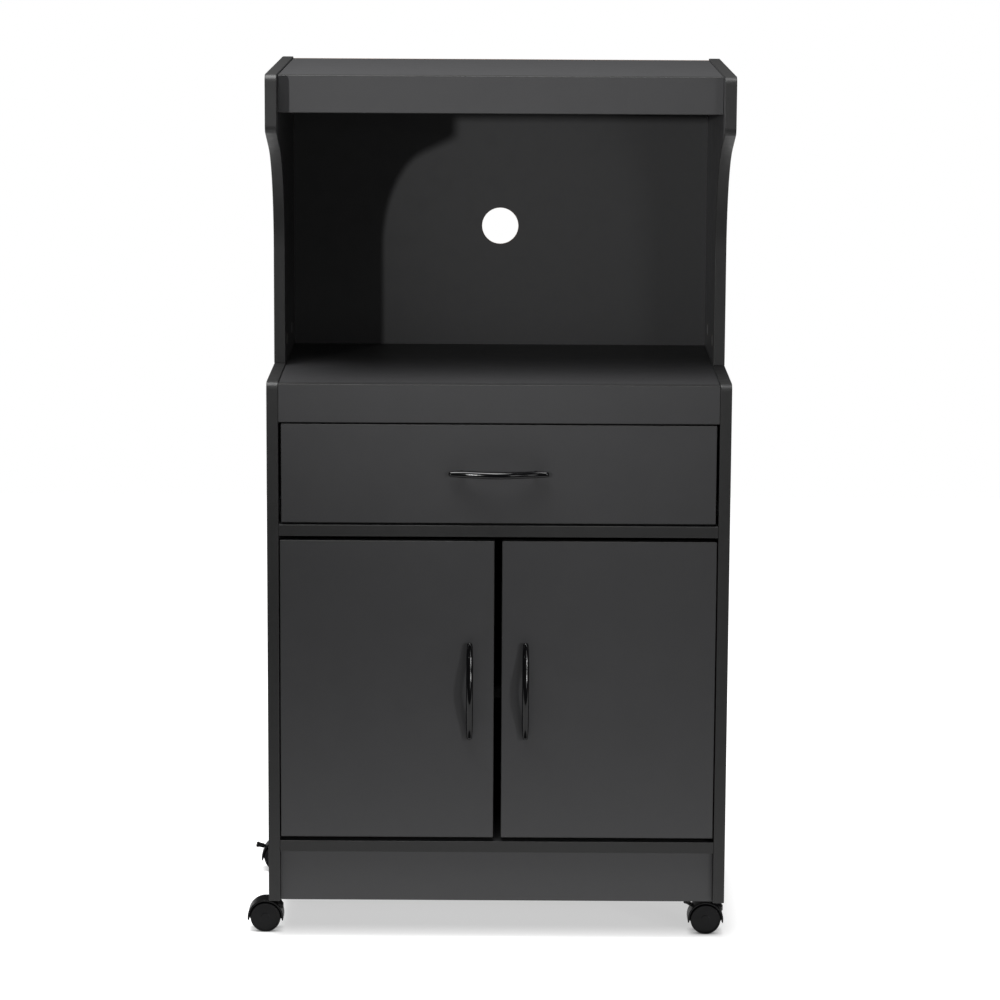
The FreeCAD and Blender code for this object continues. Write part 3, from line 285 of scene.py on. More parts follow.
def laid(layout):
    """Puts flat points with their levels, and the normals that go with them, in the cart."""
    order = LAYOUTS[layout]
    return lambda points, normals: (points[..., order], normals[..., order])


def solid(surface, outer, low, high, ease, put, holes=(), between=0, slots=(0, 1, 2)):
    """A board or any other piece with one outline all along: a profile carried from low to high,
    eased at both ends and closed with flat faces.  Holes are (u, v, radius, from, to); one that
    stops inside gets a flat floor.  between is how many rings lie between the eases, and slots
    are the materials of faces, wall and holes."""
    outline, normals = outer

    def wall(loop, out, start, end, rim, slot, open_ends=(True, True)):
        """The eased wall along a loop; an end that isn't open goes straight, without its ease."""
        levels, drawn_in, lean = eased_levels(start, end, rim, between)
        if not open_ends[0]:
            levels, drawn_in, lean = (a[EASE_STEPS:] for a in (levels, drawn_in, lean))
            levels[0] = start
        if not open_ends[1]:
            levels, drawn_in, lean = (a[:-EASE_STEPS] for a in (levels, drawn_in, lean))
            levels[-1] = end
        rings = loop - out * drawn_in[:, None, None]
        side = np.sqrt(np.clip(1 - lean**2, 0, 1))[:, None, None]
        points, leaning = put(ringed(rings, levels), ringed(out * side, lean))
        surface.grid(points, leaning, closed_columns=True, slot=slot)

    def face(flat, faces, level, facing, slot):
        """A flat face at a level, which looks along it (1) or back (-1)."""
        points = np.column_stack([flat, np.full(len(flat), level)])
        leaning = np.tile([0.0, 0.0, facing], (len(flat), 1))
        surface.add(*put(points, leaning), faces, slot)

    wall(outline, normals, low, high, ease, slots[1])
    bore_rim = millimetres("bore_ease")
    rims = {low: [], high: []}
    for u, v, radius, start, end in holes:
        loop, out = circle(u, v, radius)
        opens = (start <= low, end >= high)
        wall(loop, out, start, end, bore_rim, slots[2], opens)
        for level, is_open in zip((low, high), opens):
            if is_open:
                rims[level].append(loop - out * bore_rim)
        if not all(opens):
            level, facing = (start, 1) if opens[1] else (end, -1)
            face(*region(loop, []), level, facing, slots[2])
    for level, facing in ((low, -1), (high, 1)):
        face(*region(outline - normals * ease, rims[level]), level, facing, slots[0])


def turned(surface, profile, normals, centre, layout, steps):
    """A surface of revolution: the profile's (radius, height) points carried round an axis."""
    angle = np.linspace(0, 2 * np.pi, steps, endpoint=False)
    around = np.stack([np.cos(angle), np.sin(angle)], -1)
    radius, height = profile.T
    out, up = normals.T
    points, leaning = laid(layout)(
        ringed(radius[:, None, None] * around, height), ringed(out[:, None, None] * around, up)
    )
    surface.grid(points + np.asarray(centre), leaning, closed_columns=True)


def turned_profile(corners, radii, steps=4):
    """The rounded half section of a turned piece, from its low pole to its high one: the first and
    last corners lie on the axis and stay sharp, and the closing side along it is dropped."""
    points, normals = rounded(corners, [0, *radii, 0], steps)
    points, normals = points[steps:-steps], normals[steps:-steps]
    points[0], points[-1] = corners[0], corners[-1]
    normals[0], normals[-1] = (0, -1), (0, 1)
    return points, normals


def flared(radius, height):
    """A turned wall whose radius changes with its height: its points and outward normals."""
    slope = np.gradient(radius, height)
    out = 1 / np.hypot(1, slope)
    return np.stack([radius, height], -1), np.stack([out, -slope * out], -1)


def millimetres(setting):
    """One of the scene's small lengths, in millimetres."""
    return getattr(bpy.context.scene.cart_sizes, setting) * 1000


def finish(piece, body, node):
    """Hand the piece to its body and the node that it stands for."""
    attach(piece, body)
    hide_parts(node)


def span(node):
    """A node's lowest and highest corner in millimetres."""
    low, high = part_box(node)
    return np.array(low) * 1000, np.array(high) * 1000


# ---- Materials ----
# Each is a recipe: a function of the node tree, the object coordinates and the cart's
# colours that returns what the Principled shader's sockets take.


def add_node(tree, kind, inputs=(), **settings):
    """One node with its settings; inputs map a socket to a value or to another node's output."""
    node = tree.nodes.new(kind)
    for name, value in settings.items():
        setattr(node, name, value)
    for socket, value in dict(inputs).items():
        if isinstance(value, bpy.types.NodeSocket):
            tree.links.new(value, node.inputs[socket])
        else:
            node.inputs[socket].default_value = value
    return node


def mottled(tree, place, size_mm, tone, contrast, detail=3):
    """A colour that wavers round its tone: noise of the given grain size, in millimetres."""
    noise = add_node(
        tree,
        "ShaderNodeTexNoise",
        {"Vector": place, "Scale": 1000 / size_mm, "Detail": detail, "Roughness": 0.6},
    )
    dark, light = (
        (*(min(1, c * (1 + change)) for c in tone[:3]), 1) for change in (-contrast, contrast)
    )
    # 6 and 7 are the node's two colour inputs, and 2 is its colour output
    inputs = {"Factor": noise.outputs[0], 6: dark, 7: light}
    return add_node(tree, "ShaderNodeMix", inputs, data_type="RGBA").outputs[2]


def roughened(tree, place, size_mm, low, high):
    """Roughness that wavers from low to high, with patches of the given size."""
    noise = add_node(
        tree, "ShaderNodeTexNoise", {"Vector": place, "Scale": 1000 / size_mm, "Detail": 2}
    )
    # noise seldom leaves the middle of its range, so that is stretched over the whole
    middle = {"From Min": 0.3, "From Max": 0.7, "To Min": low, "To Max": high}
    return add_node(tree, "ShaderNodeMapRange", {"Value": noise.outputs[0], **middle}).outputs[0]


def relief(tree, place, pattern, size_mm, depth_mm, strength, **shape):
    """A bump of the given depth from a pattern of the given size, both in millimetres."""
    texture = add_node(
        tree, f"ShaderNodeTex{pattern}", {"Vector": place, "Scale": 1000 / size_mm, **shape}
    )
    inputs = {"Height": texture.outputs[0], "Distance": depth_mm / 1000, "Strength": strength}
    return add_node(tree, "ShaderNodeBump", inputs).outputs[0]


def melamine_pressed_face(tree, place, finishes):
    """Melamine-faced particle board, hot-pressed between textured plates: matte and even, with
    pearl-like pits about 0.3 mm across, drawn at 0.9 mm so that they show, and a faint mottle."""
    return {
        "Base Color": mottled(tree, place, 14, finishes.melamine, 0.06, detail=5),
        "Roughness": roughened(tree, place, 30, 0.46, 0.5),
        "Normal": relief(tree, place, "Voronoi", 0.9, 0.03, 0.35),
        "Specular IOR Level": 0.38,
    }


def plastic_edge_band(tree, place, finishes):
    """ABS edge band, extruded and scraped flush: a little smoother than the face beside it, with
    the scraper's chatter.  Its marks are 0.5 mm apart, and drawn 1.6 mm apart so that they show."""
    return {
        "Base Color": mottled(tree, place, 20, finishes.edge_band, 0.05),
        "Roughness": roughened(tree, place, 12, 0.42, 0.5),
        "Normal": relief(tree, place, "Noise", 1.6, 0.02, 0.3, Detail=2),
        "Specular IOR Level": 0.2,
    }


def particle_board_core(tree, place, finishes):
    """Raw particle board where a drill went in: pressed wood chips 1 to 4 mm long, dry and pale."""
    return {
        "Base Color": mottled(tree, place, 2.2, finishes.core, 0.35, detail=6),
        "Roughness": 0.9,
        "Normal": relief(tree, place, "Voronoi", 2.2, 0.25, 0.8),
    }


def raw_hardboard(tree, place, finishes):
    """Wet-pressed hardboard, its unprinted side: brown, cloudy and fibrous, with a faint sheen and
    the imprint of the screen that it was pressed on.  The wires of that screen are 1.3 mm apart,
    and are drawn 4 mm apart so that they show."""
    return {
        "Base Color": mottled(tree, place, 75, finishes.raw_hardboard, 0.3, detail=10),
        "Roughness": roughened(tree, place, 20, 0.55, 0.7),
        "Normal": relief(tree, place, "Voronoi", 4, 0.5, 0.5, Randomness=0),
        "Specular IOR Level": 0.35,
    }


def printed_hardboard(tree, place, finishes):
    """Hardboard with a lacquered print on its smooth side: darker and a little flatter than the
    melamine, without its pits, but with the board's slow waves, 40 mm across."""
    return {
        "Base Color": mottled(tree, place, 9, finishes.printed, 0.08, detail=5),
        "Roughness": roughened(tree, place, 25, 0.5, 0.58),
        "Normal": relief(tree, place, "Noise", 40, 0.2, 0.3, Detail=2),
        "Specular IOR Level": 0.35,
    }


def gloss_black_handle(tree, place, finishes):
    """Die-cast zinc under black electrophoretic lacquer: near mirror gloss, with the slight ripple
    of a polished casting, 9 mm across."""
    return {
        "Base Color": mottled(tree, place, 8, finishes.handle, 0.1),
        "Roughness": roughened(tree, place, 6, 0.1, 0.15),
        "Normal": relief(tree, place, "Noise", 9, 0.05, 0.15, Detail=1),
        "Specular IOR Level": 0.22,
    }


def moulded_black_nylon(tree, place, finishes):
    """Injection-moulded nylon with carbon black: a soft sheen from the mould's fine spark-eroded
    texture, 0.25 mm grain drawn at 0.5 mm so that it shows."""
    return {
        "Base Color": mottled(tree, place, 6, finishes.caster, 0.12),
        "Roughness": roughened(tree, place, 5, 0.36, 0.46),
        "Normal": relief(tree, place, "Noise", 0.5, 0.02, 0.4, Detail=2),
        "Specular IOR Level": 0.13,
    }


def bright_zinc_steel(tree, place, _):
    """Cold-formed steel, zinc plated and passivated: bluish grey, satin, with soft blotches."""
    return {
        "Base Color": mottled(tree, place, 4, linear("#b9bcc0"), 0.12),
        "Metallic": 1,
        "Roughness": roughened(tree, place, 3, 0.28, 0.42),
    }


def nickel_plated_steel(tree, place, _):
    """Pressed steel under bright nickel: warm silver, smooth, with faint drawing lines 1 mm apart
    that run up and down."""
    drawn = add_node(tree, "ShaderNodeMapping", {"Vector": place, "Scale": (1, 1, 0.2)}).outputs[0]
    return {
        "Base Color": mottled(tree, drawn, 5, linear("#c6c2b8"), 0.06),
        "Metallic": 1,
        "Roughness": roughened(tree, drawn, 4, 0.18, 0.28),
        "Normal": relief(tree, drawn, "Noise", 1, 0.01, 0.2, Detail=2),
    }


def epoxy_coated_steel(tree, place, finishes):
    """Roll-formed steel under baked epoxy powder: black, half gloss, with 2 mm orange peel."""
    return {
        "Base Color": mottled(tree, place, 25, finishes.runner, 0.03),
        "Roughness": roughened(tree, place, 10, 0.28, 0.36),
        "Normal": relief(tree, place, "Noise", 2, 0.03, 0.25, Detail=1),
    }


def natural_nylon(tree, place, _):
    """Moulded natural nylon: milky white and a little waxy, light carrying 1 mm under its skin."""
    return {
        "Base Color": mottled(tree, place, 3, linear("#e6e3d8"), 0.03),
        "Roughness": roughened(tree, place, 4, 0.35, 0.45),
        "Subsurface Weight": 0.15,
        "Subsurface Scale": 0.001,
    }


# metres: the half sizes of the oblong under the cart where the floor's painted shadow is full, and
# those at which the painted shadow has faded out
PAINTED_SHADOW_SIZES = {"X": (0.27, 0.35), "Y": (0.12, 0.22)}


def glowing_floor_painted_shadow(tree, place, _):
    """Matt paint lit from within, so that it stays as white as the air. Its glow is dimmed into a
    painted shadow under the cart, a pale soft-edged oblong, and most of all into a painted contact
    shadow, the thin dark line where a wheel stands."""
    apart = add_node(tree, "ShaderNodeSeparateXYZ", {0: place})
    shares = {}
    for index, (axis, (full, end)) in enumerate(PAINTED_SHADOW_SIZES.items()):
        reach = add_node(tree, "ShaderNodeMath", {0: apart.outputs[axis]}, operation="ABSOLUTE")
        fade = {"From Min": full, "From Max": end, "To Min": 1, "To Max": 0}
        inputs = {"Value": reach.outputs[0], **fade}
        share = add_node(tree, "ShaderNodeMapRange", inputs, interpolation_type="SMOOTHSTEP")
        shares[index] = share.outputs[0]
    # painted shadow: the floor's glow is dimmed in a soft-edged oblong under the cart
    painted_shadow = add_node(tree, "ShaderNodeMath", shares, operation="MULTIPLY")
    dimmed = {"Value": painted_shadow.outputs[0], "To Min": 1, "To Max": 0.54}
    glow = add_node(tree, "ShaderNodeMapRange", dimmed)
    # painted contact shadow: occlusion within 12 mm darkens the glow where a wheel stands
    painted_contact_shadow = add_node(tree, "ShaderNodeAmbientOcclusion", {"Distance": 0.012}, samples=8)
    both = {0: glow.outputs[0], 1: painted_contact_shadow.outputs["AO"]}
    lit = add_node(tree, "ShaderNodeMath", both, operation="MULTIPLY")
    return {
        "Base Color": linear("#b0b0b0"),
        "Roughness": 0.9,
        "Specular IOR Level": 0.1,
        "Emission Color": (1, 1, 1, 1),
        "Emission Strength": lit.outputs[0],
    }


MATERIALS = {}


def made(recipe):
    """The material of this recipe, mixed the first time that it is asked for."""
    name = recipe.__name__
    if name not in MATERIALS:
        material = bpy.data.materials.new(name)
        material.use_nodes = True
        tree = material.node_tree
        tree.nodes.clear()
        place = add_node(tree, "ShaderNodeTexCoord").outputs["Object"]
        inputs = recipe(tree, place, bpy.context.scene.cart_finish)
        shader = add_node(tree, "ShaderNodeBsdfPrincipled", inputs)
        add_node(tree, "ShaderNodeOutputMaterial", {"Surface": shader.outputs[0]})
        MATERIALS[name] = material
    return MATERIALS[name]


def refinish(node, recipe):
    """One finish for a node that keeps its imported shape."""
    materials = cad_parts[node].data.materials
    materials.clear()
    materials.append(made(recipe))


# ---- Boards ----
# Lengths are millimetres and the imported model's own, unless a comment says otherwise.

FLAT_AXES = {"X": (1, 2), "Y": (2, 0), "Z": (0, 1)}
SIDES = (("left", -1), ("right", 1))
# a cam's bore
CAM_RADIUS, CAM_DEPTH = 7.5, 12
# rounding of a side's top front corner
SHOULDER_RADIUS = 10
# ease and corners of the thin sheets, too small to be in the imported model
SHEET_EASE, BACK_CORNER, DRAWER_BOTTOM_CORNER = 0.3, 1, 0.5


def slab(node, axis, radii, ease, holes=(), slots=(0, 1, 2)):
    """A rectangular piece of the node's own size, its thickness along the axis."""
    low, high = span(node)
    u, v = FLAT_AXES[axis]
    w = "XYZ".index(axis)
    corners = [(low[u], low[v]), (high[u], low[v]), (high[u], high[v]), (low[u], high[v])]
    surface = Surface()
    outline = rounded(corners, radii)
    solid(surface, outline, low[w], high[w], ease, laid(axis), holes, slots=slots)
    return surface


def hand_in_board(surface, body, node):
    """Pressed faces, banded edges and raw bores, in the order of the slots."""
    materials = [made(m) for m in (melamine_pressed_face, plastic_edge_band, particle_board_core)]
    finish(surface.build("board_" + node, materials), body, node)


def board(node, axis, body="cabinet", radii=None, holes=()):
    """A rectangular board with small radii at its corners and eased edges."""
    ease = millimetres("board_ease")
    hand_in_board(slab(node, axis, radii or ease * 1.2, ease, holes), body, node)


def sheet(node, axis, body, radius, raw_way, holes=()):
    """A thin hardboard sheet: its edges, its bores and the face that looks the raw way are raw."""
    surface = slab(node, axis, radius, SHEET_EASE, holes, slots=(0, 1, 1))
    piece = surface.build("sheet_" + node, [made(printed_hardboard), made(raw_hardboard)])
    faces = piece.data.polygons
    normals = np.zeros(len(faces) * 3)
    faces.foreach_get("normal", normals)
    slots = np.zeros(len(faces), int)
    faces.foreach_get("material_index", slots)
    slots[normals.reshape(-1, 3) @ raw_way > 0.9] = 1
    faces.foreach_set("material_index", slots)
    finish(piece, body, node)


def bore_from_inside(node, sign, depth):
    """From where to where a bore runs along X that starts on the inner face of a side piece."""
    low, high = span(node)
    inner = high[0] if sign < 0 else low[0]
    return sorted((inner, inner + depth * sign))


class CartBoards(bpy.types.Operator):
    """Fixed boards of the carcass, and the bores in their undersides for the cams"""

    bl_idname = "cart.boards"
    bl_label = "Carcass boards"

    # a cam's centre from the board's ends, and from its front edge and the side panels' rear
    FROM_END, FROM_EDGE = 34, 60

    def execute(self, context):
        for node in ("top_board", "microwave_shelf", "divider_board", "bottom_board"):
            board(node, "Z", holes=self.cam_bores(node))
        board("inner_shelf", "Z")
        for node in ("upper_fascia", "lower_fascia", "kick_plate"):
            board(node, "Y")
        return {"FINISHED"}

    def cam_bores(self, node):
        """Two near each end of the board."""
        low, high = span(node)
        rear = span("lower_side_left")[1][1]
        return [
            (x, y, CAM_RADIUS, low[2], low[2] + CAM_DEPTH)
            for x in (low[0] + self.FROM_END, high[0] - self.FROM_END)
            for y in (low[1] + self.FROM_EDGE, rear - self.FROM_EDGE)
        ]


class CartSides(bpy.types.Operator):
    """Side panels of the cabinet and of the hutch"""

    bl_idname = "cart.sides"
    bl_label = "Side panels"

    # bores for the shelf's pins, in rows of three
    PIN_RADIUS, PIN_BORE_DEPTH, PIN_STEP = 2.5, 9, 32
    # the hutch side: its nose, and its upright edge behind the nose
    NOSE_HEIGHT, NOSE_RADIUS, UPRIGHT_SETBACK = 73, 12, 175
    # fall of the underside from the nose, and the cove that joins it to the upright edge
    UNDERSIDE_SLOPE, COVE_RADIUS = math.radians(19.4), 150
    # cams' centres above the foot, behind the upright edge and before the rear edge
    CAM_HEIGHT, CAM_BEHIND, CAM_BEFORE = 28, 40, 67

    def execute(self, context):
        for side, sign in SIDES:
            self.lower_side(f"lower_side_{side}", sign)
            self.hutch_side(f"hutch_side_{side}", sign)
        return {"FINISHED"}

    def lower_side(self, node, sign):
        ease = millimetres("board_ease")
        low, high = span("shelf_pins")
        middle = (low[2] + high[2]) / 2
        bore = bore_from_inside(node, sign, self.PIN_BORE_DEPTH)
        holes = [
            (column, middle + self.PIN_STEP * step, self.PIN_RADIUS, *bore)
            for column in (low[1] + self.PIN_RADIUS, high[1] - self.PIN_RADIUS)
            for step in (-1, 0, 1)
        ]
        board(node, "X", radii=[ease, ease, ease, SHOULDER_RADIUS], holes=holes)

    def hutch_side(self, node, sign):
        """Nose, sloping underside, cove and upright edge.  The cove's arc is turned as one more
        rounded corner, where the slope and the upright edge would meet."""
        ease = millimetres("board_ease")
        low, high = span(node)
        _, front, bottom = low
        _, rear, top = high
        upright = front + self.UPRIGHT_SETBACK
        nose = top - self.NOSE_HEIGHT
        meeting = nose - self.UPRIGHT_SETBACK * math.tan(self.UNDERSIDE_SLOPE)
        corners = [(front, nose), (upright, meeting), (upright, bottom)]
        corners += [(rear, bottom), (rear, top), (front, top)]
        radii = [self.NOSE_RADIUS, self.COVE_RADIUS, ease, ease, ease, SHOULDER_RADIUS]
        bore = bore_from_inside(node, sign, CAM_DEPTH)
        cams = [
            (y, bottom + self.CAM_HEIGHT, CAM_RADIUS, *bore)
            for y in (upright + self.CAM_BEHIND, rear - self.CAM_BEFORE)
        ]
        surface = Surface()
        outline = rounded(corners, radii, steps=16)
        solid(surface, outline, low[0], high[0], ease, laid("X"), cams)
        hand_in_board(surface, "cabinet", node)


class CartBacks(bpy.types.Operator):
    """Thin backs: printed face in front, raw hardboard behind, and the cable hole"""

    bl_idname = "cart.backs"
    bl_label = "Backs"

    # the cable hole's centre above the microwave shelf, and its radius
    HOLE_HEIGHT, HOLE_RADIUS = 165, 25

    def execute(self, context):
        low, high = span("hutch_back")
        height = span("microwave_shelf")[1][2] + self.HOLE_HEIGHT
        hole = (height, 0, self.HOLE_RADIUS, low[1], high[1])
        for node, holes in (("lower_back", []), ("hutch_back", [hole])):
            sheet(node, "Y", "cabinet", BACK_CORNER, (0, 1, 0), holes)
        return {"FINISHED"}


class CartDoors(bpy.types.Operator):
    """Two doors, bored for their hinge cups"""

    bl_idname = "cart.doors"
    bl_label = "Doors"

    # hinge cups' bores, and their centres from the doors' top and bottom edges
    CUP_RADIUS, CUP_DEPTH, FROM_END = 17.5, 11.5, 85

    def execute(self, context):
        for side, _ in SIDES:
            node = f"{side}_door"
            low, high = span(node)
            column = sum(corner[0] for corner in span(f"{side}_hinge_cups")) / 2
            bore = (high[1] - self.CUP_DEPTH, high[1])
            holes = [
                (z, column, self.CUP_RADIUS, *bore)
                for z in (low[2] + self.FROM_END, high[2] - self.FROM_END)
            ]
            board(node, "Y", f"{side}_leaf", holes=holes)
        return {"FINISHED"}


class CartDrawer(bpy.types.Operator):
    """Drawer front, its box and its bottom"""

    bl_idname = "cart.drawer"
    bl_label = "Drawer"

    # the groove that holds the drawer's bottom, and the rounding at its own inner corners
    GROOVE_DEPTH, GROOVE_HEIGHT, GROOVE_CORNER = 5, 3.2, 0.2

    def execute(self, context):
        for node in ("drawer_front", "drawer_back"):
            board(node, "Y", "drawer")
        for side, sign in SIDES:
            self.grooved_side(f"drawer_side_{side}", sign)
        sheet("drawer_bottom", "Z", "drawer", DRAWER_BOTTOM_CORNER, (0, 0, -1))
        return {"FINISHED"}

    def grooved_side(self, node, sign):
        """The section of a drawer side, with its groove, carried from front to rear."""
        ease = millimetres("board_ease")
        low, high = span(node)
        inner, outer = (high[0], low[0]) if sign < 0 else (low[0], high[0])
        deep = inner + self.GROOVE_DEPTH * sign
        groove = span("drawer_bottom")[0][2]
        groove_top = groove + self.GROOVE_HEIGHT
        section = [(low[2], outer), (low[2], inner), (groove, inner), (groove, deep)]
        section += [(groove_top, deep), (groove_top, inner), (high[2], inner), (high[2], outer)]
        radii = [ease] * 3 + [self.GROOVE_CORNER] * 2 + [ease] * 3
        if sign < 0:
            section, radii = section[::-1], radii[::-1]
        surface = Surface()
        outline = rounded(section, radii)
        solid(surface, outline, low[1], high[1], ease, laid("Y"), slots=(1, 0, 2))
        hand_in_board(surface, "drawer", node)


# ---- Handles ----


class CartHandles(bpy.types.Operator):
    """Three bow handles on posts"""

    bl_idname = "cart.handles"
    bl_label = "Bow handles"

    # millimetres: tips' centres from the middle, middle beyond the tips, and radii
    HALF_SPAN, PROJECTION, RISE, TIP_RADIUS, BAR_RADIUS = 61.4, 22, 11, 3.6, 4.5
    # a post's place and radius, how far its foot spreads, and how soon that fades
    POST_PLACE, POST_RADIUS, FOOT_SPREAD, FOOT_HEIGHT = 48, 3.5, 0.5, 0.8
    # turns of a handle that lies along X and of one that stands along Z
    LYING = np.eye(3)
    STANDING = np.array([[0, 0, 1], [0, 1, 0], [-1, 0, 0]], float)

    def execute(self, context):
        for node, body, turn in (
            ("drawer_handle", "drawer", self.LYING),
            ("left_door_handle", "left_leaf", self.STANDING),
            ("right_door_handle", "right_leaf", self.STANDING),
        ):
            low, high = span(node)
            x, _, z = (low + high) / 2
            place = (x, high[1], z)
            surface = Surface()
            self.bow(surface)
            for sign in (-1, 1):
                self.post(surface, self.POST_PLACE * sign)
            surface.points = [p @ turn.T + place for p in surface.points]
            surface.normals = [n @ turn.T for n in surface.normals]
            piece = surface.build("bow_" + node, [made(gloss_black_handle)])
            finish(piece, body, node)
        return {"FINISHED"}

    def bow(self, surface):
        """A circle carried along a cosine wave: out from the face by the tips' depth, plus
        rise (1 + cos(pi x / half)) / 2.  Its radius is tip + (bar - tip)(1 - s to the sixth), with
        s from -1 to 1 along the bow, and each end closes in a half ball of the tip's radius."""
        half, tip, bar = self.HALF_SPAN, self.TIP_RADIUS, self.BAR_RADIUS
        s = np.linspace(-1, 1, 57)
        ball = np.linspace(0, np.pi / 2, 9)
        closing, opening = ball[:-1], ball[1:]
        along = np.concatenate([np.full(8, -1), s, np.full(8, 1)])
        thick = tip + (bar - tip) * (1 - s**6)
        thick = np.concatenate([tip * np.sin(closing), thick, tip * np.cos(opening)])
        beyond = np.concatenate([-tip * np.cos(closing), s * 0, tip * np.sin(opening)])
        thick, beyond = thick[:, None, None], beyond[:, None, None]
        lean = beyond / tip
        x = along * half
        slope = self.RISE * np.pi / (2 * half) * np.sin(np.pi * along)
        length = np.hypot(1, slope)
        zero = np.zeros_like(x)
        centre = np.stack([x, -self.depth(x), zero], -1)[:, None]
        ahead = np.stack([1 / length, slope / length, zero], -1)[:, None]
        out = np.stack([slope / length, -1 / length, zero], -1)[:, None]
        angle = np.linspace(0, 2 * np.pi, 32, endpoint=False)[:, None]
        around = out * np.cos(angle) + np.array([0.0, 0.0, 1.0]) * np.sin(angle)
        points = centre + ahead * beyond + around * thick
        normals = around * np.sqrt(1 - lean**2) + ahead * lean
        surface.grid(points, normals, closed_columns=True)

    def depth(self, x):
        """How far the bow's centre line stands off the face at x."""
        wave = (1 + np.cos(np.pi * x / self.HALF_SPAN)) / 2
        return self.PROJECTION - self.BAR_RADIUS - self.RISE * (1 - wave)

    def post(self, surface, x):
        """A turned post: a foot that spreads on the board, then straight out into the bow."""
        height = np.linspace(0, self.depth(x), 12)
        radius = self.POST_RADIUS + self.FOOT_SPREAD * np.exp(-height / self.FOOT_HEIGHT)
        profile, normals = flared(radius, height)
        profile = np.vstack([(0, 0), profile])
        normals = np.vstack([(0, -1), normals])
        # its height runs towards the viewer
        towards = (1, -1)
        turned(surface, profile * towards, normals * towards, (x, 0, 0), "side view", steps=28)


# ---- Casters, in millimetres ----


class CartCasters(bpy.types.Operator):
    """Four twin-wheel casters: hood, wheels and, on two of them, a brake lever"""

    bl_idname = "cart.casters"
    bl_label = "Casters"

    # the hood's shell: inner and outer radius, half width, where its tips are and their slant
    SHELL_INNER, SHELL_OUTER, SHELL_HALF = 21.6, 23.7, 14.5
    SHELL_TIPS, TIP_SLANT = np.radians((-12.2, 192.2)), 0.045
    # the web between the wheels, and how far its ends reach in and down below the tips
    WEB_RADIUS, WEB_HALF, WEB_IN, WEB_DOWN = 21.8, 2.2, 6, 2
    # the neck: heights of foot, flare and top above the floor, radius, flare's spread, its fading
    # height and its limit, and the rounding of the top
    NECK_FOOT, NECK_FLARE, NECK_TOP, NECK_RADIUS = 30, 38, 50.7, 5.5
    FLARE_SPREAD, FLARE_HEIGHT, FLARE_LIMIT, NECK_ROUND = 2.2, 3.0, 1.6, 0.6
    # how far each brake lever stands up, in degrees, and its pivot from the axle, out and up
    LEVERS = {"rear_left": 12, "front_right": 31}
    PIVOT_OUT, PIVOT_UP = 8, 11
    # half widths of a lever's arm and pedal
    ARM_HALF, PEDAL_HALF = 1.8, 7.5

    def execute(self, context):
        for place in ("front_left", "front_right", "rear_left", "rear_right"):
            caster = f"caster_{place}"
            axle = sum(span(f"{caster}_axle")) / 2
            hood, wheels = Surface(), Surface()
            self.hood(hood, axle, sum(span(f"{caster}_stem")) / 2)
            self.hand_in(hood, f"{caster}_hood", caster)
            for facing in (-1, 1):
                self.wheel(wheels, axle, facing)
            self.hand_in(wheels, f"{caster}_wheels", f"wheels_{place}")
            for part in ("axle", "stem"):
                refinish(f"{caster}_{part}", bright_zinc_steel)
        for place, angle in self.LEVERS.items():
            lever = Surface()
            axle = sum(span(f"caster_{place}_axle")) / 2
            self.lever(lever, axle, math.radians(angle))
            self.hand_in(lever, f"caster_{place}_brake_lever", f"brake_{place}")
        return {"FINISHED"}

    def hand_in(self, surface, node, body):
        """A moulded piece, all of one nylon."""
        piece = surface.build("moulded_" + node, [made(moulded_black_nylon)])
        finish(piece, body, node)

    def hood(self, surface, axle, stem):
        """The shell's section, a flat ring with rounded corners, carried round the axle from tip
        to tip; inside it the web, a half disc, and above it the neck round the stem."""
        inner, outer, half = self.SHELL_INNER, self.SHELL_OUTER, self.SHELL_HALF
        corners = [(inner, -half), (outer, -half), (outer, half), (inner, half)]
        section = rounded(corners, [0.4, 0.9, 0.9, 0.4])
        mean = (inner + outer) / 2
        start, end = self.SHELL_TIPS
        middle, reach = (start + end) / 2, (end - start) / 2

        def bent(flat, leaning):
            """Bends the straight bar, whose level is its length, round the axle."""
            radius, across, travel = np.moveaxis(flat, -1, 0)
            angle = travel / mean
            # the tips are cut on a slant: the inner corner stops before the outer one
            share = (outer - radius) / (outer - inner)
            cut = 1 - self.TIP_SLANT * share * np.abs(angle - middle) / reach
            slanted = middle + (angle - middle) * cut
            points = np.stack([radius * np.cos(slanted), across, radius * np.sin(slanted)], -1)
            out, sideways, ahead = np.moveaxis(leaning, -1, 0)
            x = out * np.cos(angle) - ahead * np.sin(angle)
            z = out * np.sin(angle) + ahead * np.cos(angle)
            return points + axle, np.stack([x, sideways, z], -1)

        solid(surface, section, start * mean, end * mean, 0.4, bent, between=40, slots=(0, 0, 0))

        arc = np.linspace(start, end, 41)
        disc = np.stack([np.cos(arc), np.sin(arc)], -1) * self.WEB_RADIUS + axle[[0, 2]]
        inwards = np.array([self.WEB_IN, -self.WEB_DOWN])
        outline = np.vstack([disc, disc[-1] + inwards, disc[0] + inwards * (-1, 1)])
        self.plate(surface, rounded(outline, 0.3, 1), axle, self.WEB_HALF, 0.3)

        shoulder = self.NECK_TOP - self.NECK_ROUND
        height = np.linspace(self.NECK_FOOT, shoulder, 14)
        flare = np.exp(-(height - self.NECK_FLARE) / self.FLARE_HEIGHT).clip(0, self.FLARE_LIMIT)
        wall, wall_normals = flared(self.NECK_RADIUS + self.FLARE_SPREAD * flare, height)
        turn = np.linspace(0, np.pi / 2, 5)[1:]
        leaning = np.stack([np.cos(turn), np.sin(turn)], -1)
        rim = (self.NECK_RADIUS - self.NECK_ROUND, shoulder) + leaning * self.NECK_ROUND
        profile = np.vstack([wall, rim, (0, self.NECK_TOP)])
        normals = np.vstack([wall_normals, leaning, (0, 1)])
        turned(surface, profile, normals, (stem[0], stem[1], 0), "Z", steps=32)

